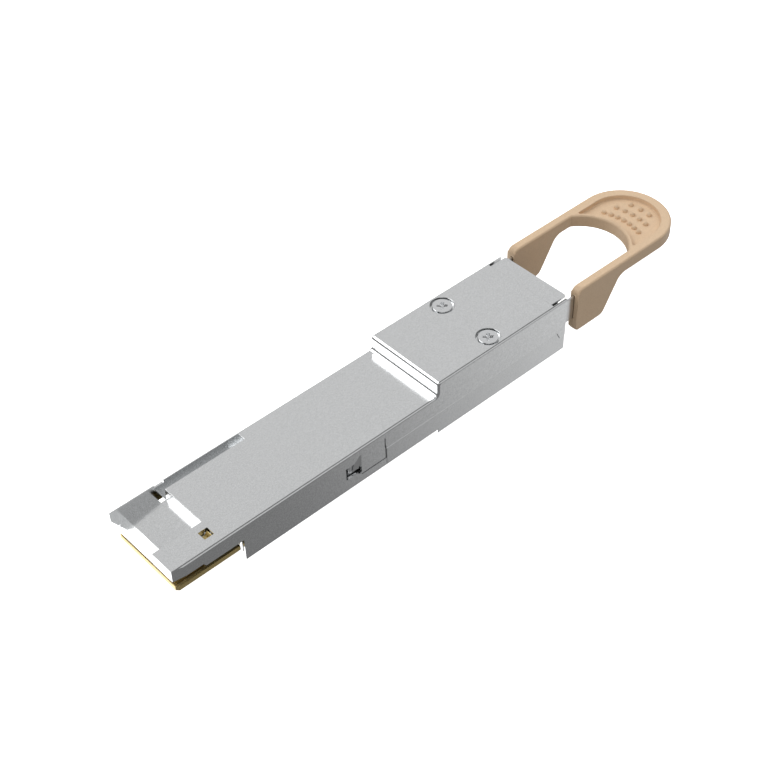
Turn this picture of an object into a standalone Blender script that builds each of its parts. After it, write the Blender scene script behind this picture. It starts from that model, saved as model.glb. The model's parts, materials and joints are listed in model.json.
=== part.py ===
"""Optical transceiver module with a pull-tab latch, built as separate pieces.

Every piece is placed by its station, the distance behind the nose tip, on an empty
called nose_datum. +X runs from the nose to the pull tab, +Z is up, and the world
origin is under the middle of the whole module, level with its lowest face.
"""

import math

import bmesh
import bpy
from mathutils import Vector

MM = 0.001

# ---- Overall sizes -------------------------------------------------------------------
module_width = 18.35 * MM
body_length = 95.00 * MM
front_length = 60.42 * MM
front_bottom = 0.82 * MM
front_thickness = 8.50 * MM
rear_height = 12.57 * MM

# ---- Sheet, walls and clearances -----------------------------------------------------
skirt_thickness = 0.48 * MM
roof_thickness = 0.60 * MM
corner_radius = 0.45 * MM
piece_gap = 0.30 * MM
slide_clearance = 0.12 * MM
tool_margin = 2.00 * MM
weld_overlap = 0.10 * MM

# ---- Nose of the cover ---------------------------------------------------------------
shroud_length = 14.65 * MM
nose_recess_length = 10.33 * MM
nose_recess_right = 3.35 * MM
nose_floor_rear_drop = 2.57 * MM
nose_floor_front_drop = 3.22 * MM
nose_ramp_station = 2.85 * MM
nose_lip_station = 0.80 * MM
nose_lip_clearance = 0.31 * MM
nose_panel_thickness = 0.40 * MM
nose_front_wall_height = 2.50 * MM
nose_wall_height = 2.75 * MM
nose_wall_low_height = 3.35 * MM
nose_left_wall_height = 3.90 * MM
nose_wall_jog_station = 6.10 * MM
nose_taper_length = 2.60 * MM
nose_taper = 0.42 * MM
key_channel_width = 1.80 * MM
key_channel_length = 17.57 * MM
key_channel_depth = 3.00 * MM
corner_hole_length = 1.13 * MM
corner_hole_width = 1.80 * MM
inspection_hole = 1.75 * MM
inspection_hole_station = 9.30 * MM
inspection_hole_inset = 3.155 * MM
wall_notch_lead = 0.93 * MM
wall_notch_length = 2.00 * MM
wall_notch_depth = 0.50 * MM

# ---- Side skirts of the cover --------------------------------------------------------
seam_height = 5.15 * MM
half_skirt_length = 13.02 * MM
slit_width = 0.25 * MM
flap_length = 6.00 * MM
flap_bottom = 2.92 * MM
flap_top_drop = 1.49 * MM
window_bottom = 3.55 * MM
window_top_drop = 1.97 * MM
window_ramp_length = 1.50 * MM
window_ramp_bottom = 5.10 * MM
rear_tab_length = 1.60 * MM
rear_tab_bottom = 3.57 * MM

# ---- Rear end of the cover -----------------------------------------------------------
rear_strip_length = 3.50 * MM
rear_strip_inset = 1.025 * MM
rear_strip_overhang = 0.70 * MM
relief_slot_width = 0.55 * MM

# ---- Cover screws --------------------------------------------------------------------
screw_setback = 18.75 * MM
screw_inset = 2.975 * MM
screw_head_radius = 2.00 * MM
screw_head_height = 0.45 * MM
screw_recess_radius = 2.28 * MM
screw_shank_radius = 0.70 * MM
screw_length = 5.50 * MM
screw_hole_radius = 1.00 * MM
screw_dimple_margin = 0.35 * MM
screw_dimple_wall = 0.35 * MM
drive_slot_length = 2.20 * MM
drive_slot_width = 0.45 * MM
drive_slot_depth = 0.30 * MM

# ---- Base ----------------------------------------------------------------------------
floor_thickness = 1.20 * MM
base_wall_thickness = 0.80 * MM
base_wall_drop = 1.12 * MM
base_rear_wall_drop = 1.50 * MM
screw_block_lead = 2.18 * MM
screw_block_end_margin = 2.75 * MM
screw_block_width = 3.10 * MM
board_support_radius = 0.80 * MM
board_support_inset = 1.305 * MM
board_support_front = 5.35 * MM
board_support_rear = 3.42 * MM

# ---- Latch: two sliding arms, springs and the pull tab -------------------------------
latch_travel = 1.80 * MM
tip_clearance = 0.40 * MM
travel_margin = 0.25 * MM
arm_thickness = 0.45 * MM
arm_tip_edge_gap = 0.20 * MM
arm_tip_height = 2.70 * MM
arm_rise_lead = 0.20 * MM
arm_rise_length = 2.70 * MM
arm_strip_bottom = 5.35 * MM
arm_strip_height = 2.65 * MM
arm_tongue_bottom = 5.75 * MM
arm_tongue_grip = 4.00 * MM
wedge_length = 1.20 * MM
wedge_height = 1.10 * MM
wedge_proud = 0.40 * MM
spring_pocket_lead = 1.30 * MM
spring_pocket_length = 10.20 * MM
spring_drop = 2.67 * MM
spring_radius = 0.65 * MM
spring_wire = 0.22 * MM
spring_turns = 11
spring_tab_thickness = 0.50 * MM
spring_tab_height = 1.20 * MM
spring_pocket_height = 2.00 * MM
spring_pocket_depth = 2.10 * MM

# ---- Pull tab ------------------------------------------------------------------------
tab_gap = 2.00 * MM
tab_overhang = 0.425 * MM
tab_arm_thickness = 2.00 * MM
tab_rise = 0.63 * MM
tab_loop_thickness = 2.90 * MM
tab_bottom = 2.70 * MM
tab_arm_foot = 8.00 * MM
tab_arm_slope = 4.60 * MM
tab_straight = 24.20 * MM
tab_edge_radius = 0.75 * MM
tab_opening_side_margin = 1.30 * MM
tab_opening_centre = 12.00 * MM
thumb_rim = 2.25 * MM
thumb_lip = 0.75 * MM
thumb_depth = 1.00 * MM
thumb_dot_radius = 0.55 * MM
thumb_dot_height = 0.45 * MM
thumb_dot_row_leads = (12.25 * MM, 15.00 * MM, 17.50 * MM)
thumb_dot_row_counts = (7, 5, 3)
thumb_dot_pitches = (1.56 * MM, 1.96 * MM, 2.42 * MM)
thumb_dot_bow_setback = 0.25 * MM

# ---- Circuit board and its contacts --------------------------------------------------
board_bottom = 3.16 * MM
board_thickness = 1.00 * MM
board_front = 0.78 * MM
board_nose_inset = 0.775 * MM
board_neck_margin = 0.35 * MM
board_tail_length = 11.50 * MM
contact_edge_margin = 1.20 * MM
contact_pitch = 0.80 * MM
contact_width = 0.50 * MM
contact_start = 1.30 * MM
contact_length = 5.60 * MM
contact_tie = 0.60 * MM
contact_thickness = 0.07 * MM
contact_proud = 0.02 * MM

# ---- Electronics on the board --------------------------------------------------------
dsp_station = 18.50 * MM
dsp_length = 12.00 * MM
dsp_side_margin = 0.905 * MM
dsp_height = 1.60 * MM
pad_inset = 0.50 * MM
engine_setback = 16.42 * MM
engine_length = 9.00 * MM
engine_side_margin = 1.905 * MM
engine_height = 1.90 * MM
fiber_block_length = 3.20 * MM
fiber_block_height = 1.40 * MM
laser_size = (3.20 * MM, 2.40 * MM, 1.70 * MM)
laser_side_margin = 0.405 * MM
capacitor_lead = 2.30 * MM
inductor_lead = 4.00 * MM
inductor_size = 3.00 * MM
inductor_height = 2.00 * MM
inductor_side_margin = 1.005 * MM
crystal_lead = 9.00 * MM
crystal_size = (2.50 * MM, 2.00 * MM, 0.80 * MM)
controller_lead = 4.08 * MM
controller_size = 5.00 * MM
controller_height = 0.90 * MM
capacitor_size = (1.00 * MM, 2.00 * MM, 1.25 * MM)
capacitor_offsets = (-1.60 * MM, 1.60 * MM)

# ---- Optical port --------------------------------------------------------------------
port_length = 10.50 * MM
port_side_wall = 1.805 * MM
port_end_wall = 1.61 * MM
port_back_wall = 1.50 * MM
port_key_width = 3.00 * MM
port_key_height = 0.90 * MM
port_floor_gap = 0.35 * MM
ferrule_width = 6.40 * MM
ferrule_height = 2.50 * MM
ferrule_length = 8.00 * MM
ferrule_flange = 0.60 * MM
ferrule_flange_length = 2.00 * MM
ferrule_reach = 3.00 * MM
guide_pin_radius = 0.35 * MM
guide_pin_offset = 2.30 * MM
guide_pin_length = 2.20 * MM
clip_thickness = 0.80 * MM
clip_margin = 1.20 * MM
ribbon_thickness = 0.28 * MM
ribbon_width = 2.60 * MM
ribbon_offset = 1.60 * MM
ribbon_points = 9
gasket_width = 0.50 * MM
gasket_height = 0.45 * MM

# ---- Sizes that follow from the ones above -------------------------------------------
half_width = module_width / 2
front_top = front_bottom + front_thickness
skirt_inner = half_width - skirt_thickness
arm_outer = skirt_inner - slide_clearance
arm_inner = arm_outer - arm_thickness
base_wall_outer = arm_inner - slide_clearance
base_wall_inner = base_wall_outer - base_wall_thickness
front_ceiling = front_top - roof_thickness
rear_ceiling = rear_height - roof_thickness

full_skirt_end = front_length - half_skirt_length
flap_start = full_skirt_end - flap_length
flap_top = front_top - flap_top_drop
window_top = front_top - window_top_drop
arm_tip_station = flap_start - travel_margin - latch_travel - wedge_length
arm_tip_bottom = window_bottom + arm_tip_edge_gap
arm_rise_start = flap_start + arm_rise_lead
window_start = arm_tip_station - tip_clearance

screw_station = body_length - screw_setback
screw_offset = half_width - screw_inset
screw_seat = rear_height - screw_head_height - piece_gap
dimple_bottom = screw_seat - screw_dimple_wall
screw_block_start = front_length + screw_block_lead
screw_block_end = screw_station + screw_block_end_margin
arm_tongue_top = dimple_bottom - slide_clearance
spring_pocket_start = screw_block_start + spring_pocket_lead
spring_height = dimple_bottom - spring_drop
spring_y = base_wall_outer - spring_pocket_depth / 2

tab_start = body_length + tab_gap + rear_strip_overhang
tab_top = rear_height + tab_rise
tab_half_width = half_width + tab_overhang
tab_inner = tab_half_width - tab_arm_thickness
tab_opening_radius = tab_inner + tab_opening_side_margin
tab_opening_x = tab_start + tab_opening_centre
tab_end_centre = tab_start + tab_straight
total_length = tab_end_centre + tab_half_width

board_top = board_bottom + board_thickness
board_half_width = base_wall_inner - piece_gap
board_nose_half_width = half_width - board_nose_inset
board_waist_station = screw_block_start - 2 * piece_gap
board_waist_half_width = base_wall_outer - screw_block_width - piece_gap
board_support_stations = (shroud_length + board_support_front, front_length - board_support_rear)
contact_spaces = int(2 * (board_nose_half_width - contact_edge_margin) / contact_pitch + 0.01)
nose_lip_z = board_top + nose_lip_clearance + nose_panel_thickness

channel_right = skirt_inner - key_channel_width
channel_end = nose_recess_length + key_channel_length
channel_underside = front_top - key_channel_depth - nose_panel_thickness

chip_floor = board_top + piece_gap
dsp_end = dsp_station + dsp_length
dsp_width = 2 * (board_half_width - dsp_side_margin)
engine_station = front_length - engine_setback
engine_end = engine_station + engine_length
engine_width = 2 * (board_half_width - engine_side_margin)
controller_station = front_length + controller_lead
laser_offset = board_half_width - laser_side_margin - laser_size[1] / 2
fiber_block_width = 2 * (laser_offset - laser_size[1] / 2 - 2 * piece_gap)

port_station = body_length - port_length
port_outer = base_wall_inner - piece_gap
port_low = floor_thickness + port_floor_gap
port_high = rear_ceiling - piece_gap
port_centre_height = (port_low + port_high) / 2
ferrule_front = port_station + port_back_wall + ferrule_reach
ferrule_rear = ferrule_front - ferrule_length

AXES = {
    "X": lambda u, v, w: (w, u, v),
    "Y": lambda u, v, w: (u, w, v),
    "Z": lambda u, v, w: (u, v, w),
}


# ---- Helpers ------------------------------------------------------------------------
def clear_scene():
    for old in list(bpy.data.objects):
        bpy.data.objects.remove(old, do_unlink=True)


def make_material(name, colour, roughness, metallic):
    material = bpy.data.materials.new(name)
    material.use_nodes = True
    shader = material.node_tree.nodes["Principled BSDF"]
    shader.inputs["Base Color"].default_value = (*colour, 1.0)
    shader.inputs["Roughness"].default_value = roughness
    shader.inputs["Metallic"].default_value = metallic
    return material


def add_empty(name, location, parent=None):
    empty = bpy.data.objects.new(name, None)
    bpy.context.collection.objects.link(empty)
    empty.location = location
    empty.parent = parent
    return empty


def add_mesh_object(name, bm, material=None):
    bmesh.ops.recalc_face_normals(bm, faces=bm.faces)
    mesh = bpy.data.meshes.new(name)
    bm.to_mesh(mesh)
    bm.free()
    piece = bpy.data.objects.new(name, mesh)
    bpy.context.collection.objects.link(piece)
    piece.parent = datum
    if material:
        piece.data.materials.append(material)
    return piece


def prism(name, outline, axis, low, high, material=None):
    """A closed outline in the plane across `axis`, extruded from low to high."""
    place = AXES[axis]
    bm = bmesh.new()
    corners = [bm.verts.new(place(u, v, low)) for u, v in outline]
    face = bm.faces.new(corners)
    grown = bmesh.ops.extrude_face_region(bm, geom=[face])
    moved = [item for item in grown["geom"] if isinstance(item, bmesh.types.BMVert)]
    bmesh.ops.translate(bm, verts=moved, vec=Vector(place(0, 0, high - low)))
    return add_mesh_object(name, bm, material)


def box(name, x, y, z, material=None):
    """A block from (low, high) ranges along the three axes."""
    outline = [(x[0], y[0]), (x[1], y[0]), (x[1], y[1]), (x[0], y[1])]
    return prism(name, outline, "Z", z[0], z[1], material)


def arc(centre, radius, start_deg, end_deg, steps):
    """Points along an arc, both ends included."""
    angles = [start_deg + (end_deg - start_deg) * i / steps for i in range(steps + 1)]
    return [
        (centre[0] + radius * math.cos(math.radians(a)), centre[1] + radius * math.sin(math.radians(a)))
        for a in angles
    ]


def rod(name, axis, centre, radius, low, high, material=None, steps=20):
    outline = arc(centre, radius, 0, 360 - 360 / steps, steps - 1)
    piece = prism(name, outline, axis, low, high, material)
    piece.data.shade_smooth()
    piece.data.set_sharp_from_angle(angle=math.radians(40))
    return piece


def combine(piece, tool, operation):
    """Adds or cuts a tool shape, which is then only a guide."""
    change = piece.modifiers.new(tool.name, "BOOLEAN")
    change.operation = operation
    change.object = tool
    tool.hide_render = True
    tool.display_type = "WIRE"


def cut(piece, tool):
    combine(piece, tool, "DIFFERENCE")


def weld(piece, tool):
    combine(piece, tool, "UNION")


def round_edges(piece, width, segments=2, angle=50):
    bevel = piece.modifiers.new("rounded_edges", "BEVEL")
    bevel.width = width
    bevel.segments = segments
    bevel.limit_method = "ANGLE"
    bevel.angle_limit = math.radians(angle)


def attach(piece, parent):
    """Hangs a piece on another empty without moving it."""
    piece.location = piece.location - parent.location
    piece.parent = parent


def channel_outline(top, bottom, ceiling):
    """Cross-section of the folded cover: a roof with two skirts and rounded folds."""
    left_fold = arc((half_width - corner_radius, top - corner_radius), corner_radius, 0, 90, 3)
    right_fold = arc((-half_width + corner_radius, top - corner_radius), corner_radius, 90, 180, 3)
    inner = [(-skirt_inner, bottom), (-skirt_inner, ceiling), (skirt_inner, ceiling), (skirt_inner, bottom)]
    return [(half_width, bottom)] + left_fold + right_fold + [(-half_width, bottom)] + inner


# ---- Top cover ----------------------------------------------------------------------
def build_top_cover(material):
    far = body_length + rear_strip_overhang
    cover = prism("top_cover", channel_outline(front_top, front_bottom, front_ceiling), "X",
                  0, front_length + roof_thickness / 2, material)
    rear = prism("cover_rear", channel_outline(rear_height, seam_height, rear_ceiling), "X",
                 front_length, far)
    weld(cover, rear)
    riser_low = front_top - roof_thickness
    riser = box("cover_riser", (front_length, front_length + roof_thickness),
                (-skirt_inner - weld_overlap, skirt_inner + weld_overlap),
                (riser_low, rear_height - roof_thickness / 2))
    weld(cover, riser)
    shape_skirts(cover)
    shape_nose(cover)
    shape_rear_end(cover, far)
    shape_screw_dimples(cover)
    return cover


def shape_skirts(cover):
    """Ends the full-height skirts, cuts the latch windows and leaves the flaps."""
    across = half_width + tool_margin
    low = front_bottom - tool_margin
    cut(cover, box("skirt_end_cut", (full_skirt_end, body_length + tool_margin),
                   (-across, across), (low, seam_height)))
    rear_tab_start = body_length - rear_tab_length
    for side, name in ((1, "left"), (-1, "right")):
        sheet = sorted((side * skirt_inner, side * half_width))
        through = sorted((side * (skirt_inner - tool_margin), side * across))
        weld(cover, box("rear_tab_" + name, (rear_tab_start, body_length), sheet,
                        (rear_tab_bottom, seam_height + weld_overlap)))
        cut(cover, box("rear_trim_" + name, (body_length, body_length + tool_margin), through,
                       (low, rear_ceiling)))
        cut(cover, box("flap_slit_" + name, (full_skirt_end - slit_width, full_skirt_end), through,
                       (flap_bottom - slit_width, flap_top)))
        cut(cover, box("flap_gap_" + name, (flap_start, full_skirt_end - slit_width / 2), through,
                       (flap_bottom - slit_width, flap_bottom)))
        cut(cover, box("latch_window_" + name, (window_start, flap_start), through,
                       (window_bottom, window_top)))
        foot = (flap_start - window_ramp_length, side * skirt_inner)
        heel = (flap_start + weld_overlap, side * skirt_inner)
        crest = (flap_start + weld_overlap, side * half_width)
        knee = (flap_start, side * half_width)
        weld(cover, prism("window_ramp_" + name, [foot, heel, crest, knee], "Z",
                          window_ramp_bottom, window_top + weld_overlap))


def shape_nose(cover):
    """The sunken panel, the key channel and the short side walls over the card edge."""
    across = half_width + tool_margin
    under = front_bottom - tool_margin
    wall_low = front_top - nose_wall_low_height
    wall_high = front_top - nose_wall_height
    left_low = front_top - nose_left_wall_height
    inside = skirt_inner - tool_margin
    cut(cover, box("shroud_cut_left", (-tool_margin, shroud_length), (inside, across), (under, left_low)))
    cut(cover, box("shroud_cut_right", (-tool_margin, shroud_length), (-across, -inside), (under, wall_low)))
    cut(cover, box("wall_step_right", (-tool_margin, nose_wall_jog_station), (-across, -inside),
                   (under, wall_high)))
    taper_outline = [(-tool_margin, -across), (nose_taper_length, -across),
                     (nose_taper_length, -half_width), (0, -half_width + nose_taper),
                     (-tool_margin, -half_width + nose_taper)]
    cut(cover, prism("nose_taper_cut", taper_outline, "Z", under, front_top + tool_margin))

    rear_z = front_top - nose_floor_rear_drop
    front_z = front_top - nose_floor_front_drop
    hang = nose_panel_thickness
    panel_outline = [(nose_recess_length + hang, rear_z), (nose_ramp_station, front_z),
                     (nose_lip_station, nose_lip_z), (nose_lip_station + hang, nose_lip_z - hang),
                     (nose_ramp_station + hang, front_z - hang), (nose_recess_length + hang, rear_z - hang)]
    right_end = -nose_recess_right
    recess = box("nose_recess", (-tool_margin, nose_recess_length), (right_end, skirt_inner),
                 (under, front_top + tool_margin))
    cut(cover, recess)
    channel = box("key_channel", (nose_recess_length - tool_margin, channel_end),
                  (channel_right, skirt_inner), (front_top - key_channel_depth, front_top + tool_margin))
    cut(cover, channel)
    deep = channel_underside
    weld(cover, box("channel_floor", (nose_recess_length, channel_end + hang),
                    (channel_right - hang, skirt_inner + weld_overlap),
                    (deep, front_top - key_channel_depth)))
    weld(cover, box("channel_side", (nose_recess_length, channel_end + hang),
                    (channel_right - hang, channel_right), (deep, front_top - weld_overlap)))
    weld(cover, box("channel_end", (channel_end, channel_end + hang),
                    (channel_right - hang, skirt_inner + weld_overlap), (deep, front_top - weld_overlap)))
    weld(cover, box("recess_back", (nose_recess_length, nose_recess_length + hang),
                    (right_end - hang, channel_right), (rear_z - hang, front_top - weld_overlap)))
    weld(cover, prism("nose_panel", panel_outline, "Y", right_end - hang, skirt_inner + weld_overlap))
    weld(cover, box("recess_side", (0, nose_recess_length + hang), (right_end - hang, right_end),
                    (front_top - nose_wall_height, front_top - weld_overlap)))
    weld(cover, box("nose_front_wall", (0, hang), (-half_width + nose_taper, right_end),
                    (front_top - nose_front_wall_height, front_top - weld_overlap)))

    hole_x = (nose_recess_length - corner_hole_length, nose_recess_length)
    cut(cover, box("corner_hole", hole_x, (skirt_inner - corner_hole_width, skirt_inner - weld_overlap),
                   (under, front_top - weld_overlap)))
    half_hole = inspection_hole / 2
    hole_y = -half_width + inspection_hole_inset
    cut(cover, box("inspection_hole",
                   (inspection_hole_station - half_hole, inspection_hole_station + half_hole),
                   (hole_y - half_hole, hole_y + half_hole), (under, front_top + tool_margin)))
    notch_start = nose_recess_length - wall_notch_lead
    cut(cover, box("wall_notch", (notch_start, notch_start + wall_notch_length),
                   (skirt_inner - tool_margin / 2, across),
                   (front_top - wall_notch_depth, front_top + tool_margin)))
    chamfer = nose_wall_height - 2 * nose_taper
    chamfer_end = nose_lip_station + nose_taper
    cut(cover, prism("left_wall_chamfer", [(-tool_margin, front_top - chamfer), (0, front_top - chamfer),
                                           (chamfer_end, left_low), (chamfer_end, under),
                                           (-tool_margin, under)],
                     "Y", skirt_inner - tool_margin, across))


def shape_rear_end(cover, far):
    """The narrower rear strip of the roof between two relief slots."""
    over = rear_height + tool_margin
    strip_half = half_width - rear_strip_inset
    for side, name in ((1, "left"), (-1, "right")):
        slot = sorted((side * strip_half, side * (strip_half + relief_slot_width)))
        cut(cover, box("relief_slot_" + name, (body_length - rear_strip_length, far + tool_margin), slot,
                       (rear_ceiling - weld_overlap, over)))
        ear = sorted((side * strip_half, side * (half_width + tool_margin)))
        cut(cover, box("ear_trim_" + name, (body_length, far + tool_margin), ear,
                       (seam_height - tool_margin, over)))


def shape_screw_dimples(cover):
    """Thickens the roof under each screw head, then sinks a recess into it."""
    for side, name in ((1, "left"), (-1, "right")):
        spot = (screw_station, side * screw_offset)
        weld(cover, rod("dimple_" + name, "Z", spot, screw_recess_radius + screw_dimple_margin,
                        dimple_bottom, rear_ceiling + weld_overlap))
        cut(cover, rod("head_recess_" + name, "Z", spot, screw_recess_radius,
                       screw_seat, rear_height + tool_margin, steps=28))
        cut(cover, rod("shank_hole_" + name, "Z", spot, screw_hole_radius,
                       screw_seat - tool_margin, rear_height))


# ---- Base ---------------------------------------------------------------------------
def build_base(material):
    base_front = shroud_length + piece_gap
    pan_half = skirt_inner - piece_gap
    flush_start = full_skirt_end + piece_gap
    sill_top = board_bottom - piece_gap
    base = box("base", (base_front, front_length + weld_overlap), (-pan_half, pan_half),
               (front_bottom, front_bottom + floor_thickness), material)
    weld(base, box("rear_floor", (front_length, body_length), (-half_width, half_width),
                   (0, floor_thickness)))
    weld(base, box("floor_step", (front_length, front_length + floor_thickness),
                   (-base_wall_outer, base_wall_outer), (weld_overlap, front_bottom + floor_thickness)))
    weld(base, box("front_sill", (base_front, base_front + base_wall_thickness),
                   (-base_wall_outer, base_wall_outer), (front_bottom + weld_overlap, sill_top)))
    for side, name in ((1, "left"), (-1, "right")):
        wall = sorted((side * base_wall_inner, side * base_wall_outer))
        weld(base, box("front_wall_" + name, (base_front, front_length + weld_overlap), wall,
                       (front_bottom + weld_overlap, front_ceiling - base_wall_drop)))
        weld(base, box("rear_wall_" + name, (front_length + roof_thickness + piece_gap, body_length), wall,
                       (weld_overlap, rear_ceiling - base_rear_wall_drop)))
        flush = sorted((side * base_wall_inner, side * half_width))
        weld(base, box("flush_front_" + name, (flush_start, front_length + weld_overlap), flush,
                       (front_bottom, seam_height - piece_gap)))
        weld(base, box("flush_rear_" + name, (front_length, body_length), flush,
                       (weld_overlap, seam_height - piece_gap)))
        notch = sorted((side * (skirt_inner - piece_gap), side * (half_width + tool_margin)))
        cut(base, box("rear_tab_notch_" + name,
                      (body_length - rear_tab_length - piece_gap, body_length + tool_margin), notch,
                      (rear_tab_bottom - piece_gap, seam_height)))
        block_inner = base_wall_outer - screw_block_width
        block = sorted((side * block_inner, side * (base_wall_outer - weld_overlap)))
        weld(base, box("screw_block_" + name, (screw_block_start, screw_block_end), block,
                       (weld_overlap, dimple_bottom - piece_gap)))
        shave = sorted((side * base_wall_outer, side * (half_width + tool_margin)))
        pocket = sorted((side * (base_wall_outer - spring_pocket_depth), shave[0 if side < 0 else 1]))
        pocket_half = spring_pocket_height / 2
        cut(base, box("spring_pocket_" + name,
                      (spring_pocket_start, spring_pocket_start + spring_pocket_length), pocket,
                      (spring_height - pocket_half, spring_height + pocket_half)))
        cut(base, rod("screw_bore_" + name, "Z", (screw_station, side * screw_offset), screw_hole_radius,
                      rear_height - screw_length - 2 * piece_gap, rear_height + tool_margin, steps=12))
        for number, station in enumerate(board_support_stations, 1):
            spot = (station, side * (board_half_width - board_support_inset))
            weld(base, rod("board_support_%s_%d" % (name, number), "Z", spot, board_support_radius,
                           front_bottom + weld_overlap, sill_top, steps=12))
    cut(base, box("channel_relief", (0, channel_end + nose_panel_thickness + piece_gap),
                  (channel_right - nose_panel_thickness - piece_gap, half_width),
                  (channel_underside - piece_gap, front_top)))
    return base


# ---- Screws -------------------------------------------------------------------------
def build_screw(name, side, material):
    spot = (screw_station, side * screw_offset)
    screw = rod(name, "Z", spot, screw_head_radius, rear_height - screw_head_height, rear_height,
                material, steps=28)
    weld(screw, rod(name + "_shank", "Z", spot, screw_shank_radius, rear_height - screw_length,
                    rear_height - screw_head_height + weld_overlap, steps=12))
    for number, turn in enumerate((45, 135), 1):
        slot = box("%s_slot_%d" % (name, number), (-drive_slot_length / 2, drive_slot_length / 2),
                   (-drive_slot_width / 2, drive_slot_width / 2),
                   (rear_height - drive_slot_depth, rear_height + tool_margin))
        slot.location = (spot[0], spot[1], 0)
        slot.rotation_euler = (0, 0, math.radians(turn))
        cut(screw, slot)
    return screw


# ---- Latch --------------------------------------------------------------------------
def arm_outline():
    """Side view of a latch arm: low tip in the window, strip, then the tall tongue."""
    strip_x = arm_rise_start + arm_rise_length
    tongue = screw_block_start
    strip_top = arm_strip_bottom + arm_strip_height
    tip_top = arm_tip_bottom + arm_tip_height
    end = tab_start + arm_tongue_grip
    lead = arm_tongue_bottom - arm_strip_bottom
    return [(arm_tip_station, arm_tip_bottom), (arm_rise_start, arm_tip_bottom),
            (strip_x, arm_strip_bottom), (tongue, arm_strip_bottom),
            (tongue + lead, arm_tongue_bottom), (end, arm_tongue_bottom),
            (end, arm_tongue_top), (tongue, arm_tongue_top),
            (tongue, strip_top), (strip_x, strip_top),
            (arm_rise_start, tip_top), (arm_tip_station, tip_top)]


def build_latch_arm(name, side, material):
    sheet = sorted((side * arm_inner, side * arm_outer))
    arm = prism(name, arm_outline(), "Y", sheet[0], sheet[1], material)
    wedge = arc((arm_tip_station + wedge_length / 2, 0), wedge_length / 2, 0, 180, 8)
    reach = wedge_proud / (wedge_length / 2)
    outline = [(u, side * (arm_outer - weld_overlap + v * reach)) for u, v in wedge]
    weld(arm, prism(name + "_wedge", outline, "Z", arm_tip_bottom, arm_tip_bottom + wedge_height))
    tab_x = spring_pocket_start + piece_gap
    reach_in = base_wall_outer - spring_pocket_depth + piece_gap
    across = sorted((side * reach_in, side * (arm_inner + weld_overlap)))
    half_tab = spring_tab_height / 2
    weld(arm, box(name + "_spring_tab", (tab_x, tab_x + spring_tab_thickness), across,
                  (spring_height - half_tab, spring_height + half_tab)))
    return arm


def build_spring(name, side, material):
    start = spring_pocket_start + piece_gap + spring_tab_thickness + piece_gap + spring_wire / 2
    end = spring_pocket_start + spring_pocket_length - piece_gap - spring_wire / 2
    per_turn = 10
    count = spring_turns * per_turn
    mean_radius = spring_radius - spring_wire / 2
    curve = bpy.data.curves.new(name, "CURVE")
    curve.dimensions = "3D"
    curve.bevel_depth = spring_wire / 2
    curve.bevel_resolution = 1
    curve.use_fill_caps = True
    line = curve.splines.new("POLY")
    line.points.add(count)
    for i, point in enumerate(line.points):
        turn = 2 * math.pi * i / per_turn
        point.co = (start + (end - start) * i / count, side * spring_y + mean_radius * math.cos(turn),
                    spring_height + mean_radius * math.sin(turn), 1)
    spring = bpy.data.objects.new(name, curve)
    bpy.context.collection.objects.link(spring)
    spring.parent = datum
    spring.data.materials.append(material)
    return spring


def tab_side_outline():
    """Side view of the pull tab: deep arms at the front, a thin loop behind them."""
    loop_bottom = tab_top - tab_loop_thickness
    foot = tab_start + tab_arm_foot
    end = total_length + tool_margin
    return [(tab_start, tab_bottom), (foot, tab_bottom), (foot + tab_arm_slope, loop_bottom),
            (end, loop_bottom), (end, tab_top), (tab_start, tab_top)]


def thumb_recess_outline():
    """A D-shaped area between the rim and the lip along the finger opening."""
    rim = tab_half_width - thumb_rim
    lip = tab_opening_radius + thumb_lip
    rim_arc = arc((tab_end_centre, 0), rim, -90, 90, 18)
    meet = math.degrees(math.asin(rim / lip))
    lip_arc = arc((tab_opening_x, 0), lip, meet, -meet, 14)
    return rim_arc + lip_arc


def thumb_dots():
    """Three rows of raised dots, bowed about a centre near the finger opening's."""
    spots = []
    bow_x = tab_opening_x - thumb_dot_bow_setback
    for lead, count, pitch in zip(thumb_dot_row_leads, thumb_dot_row_counts, thumb_dot_pitches):
        radius = lead + thumb_dot_bow_setback
        for i in range(count):
            angle = (i - (count - 1) / 2) * pitch / radius
            spots.append((bow_x + radius * math.cos(angle), radius * math.sin(angle)))
    return spots


def build_pull_tab(material):
    across = tab_half_width + tool_margin
    tab = prism("pull_tab", tab_side_outline(), "Y", -across, across, material)
    loop = arc((tab_end_centre, 0), tab_half_width, -90, 90, 28)
    front = tab_start - tool_margin
    plan = [(front, tab_half_width), (front, -tab_half_width)] + loop
    combine(tab, prism("tab_plan", plan, "Z", tab_bottom - tool_margin, tab_top + tool_margin), "INTERSECT")
    meet = math.degrees(math.asin(tab_inner / tab_opening_radius))
    bow = arc((tab_opening_x, 0), tab_opening_radius, -meet, meet, 16)
    opening = [(front, tab_inner), (front, -tab_inner)] + bow
    cut(tab, prism("finger_opening", opening, "Z", tab_bottom - tool_margin, tab_top + tool_margin))
    round_edges(tab, tab_edge_radius)
    floor = tab_top - thumb_depth
    cut(tab, prism("thumb_recess", thumb_recess_outline(), "Z", floor, tab_top + tool_margin))
    dots = bmesh.new()
    for x, y in thumb_dots():
        made = bmesh.ops.create_uvsphere(dots, u_segments=8, v_segments=6, radius=thumb_dot_radius)
        squash = thumb_dot_height / thumb_dot_radius
        bmesh.ops.scale(dots, verts=made["verts"], vec=(1, 1, squash))
        bmesh.ops.translate(dots, verts=made["verts"], vec=(x, y, floor))
    weld(tab, add_mesh_object("thumb_dots", dots))
    for side, name in ((1, "left"), (-1, "right")):
        slot = sorted((side * (arm_inner - piece_gap), side * (arm_outer + piece_gap)))
        cut(tab, box("tongue_slot_" + name,
                     (tab_start - tool_margin, tab_start + arm_tongue_grip + piece_gap), slot,
                     (arm_tongue_bottom - piece_gap, arm_tongue_top + piece_gap)))
    return tab


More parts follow.
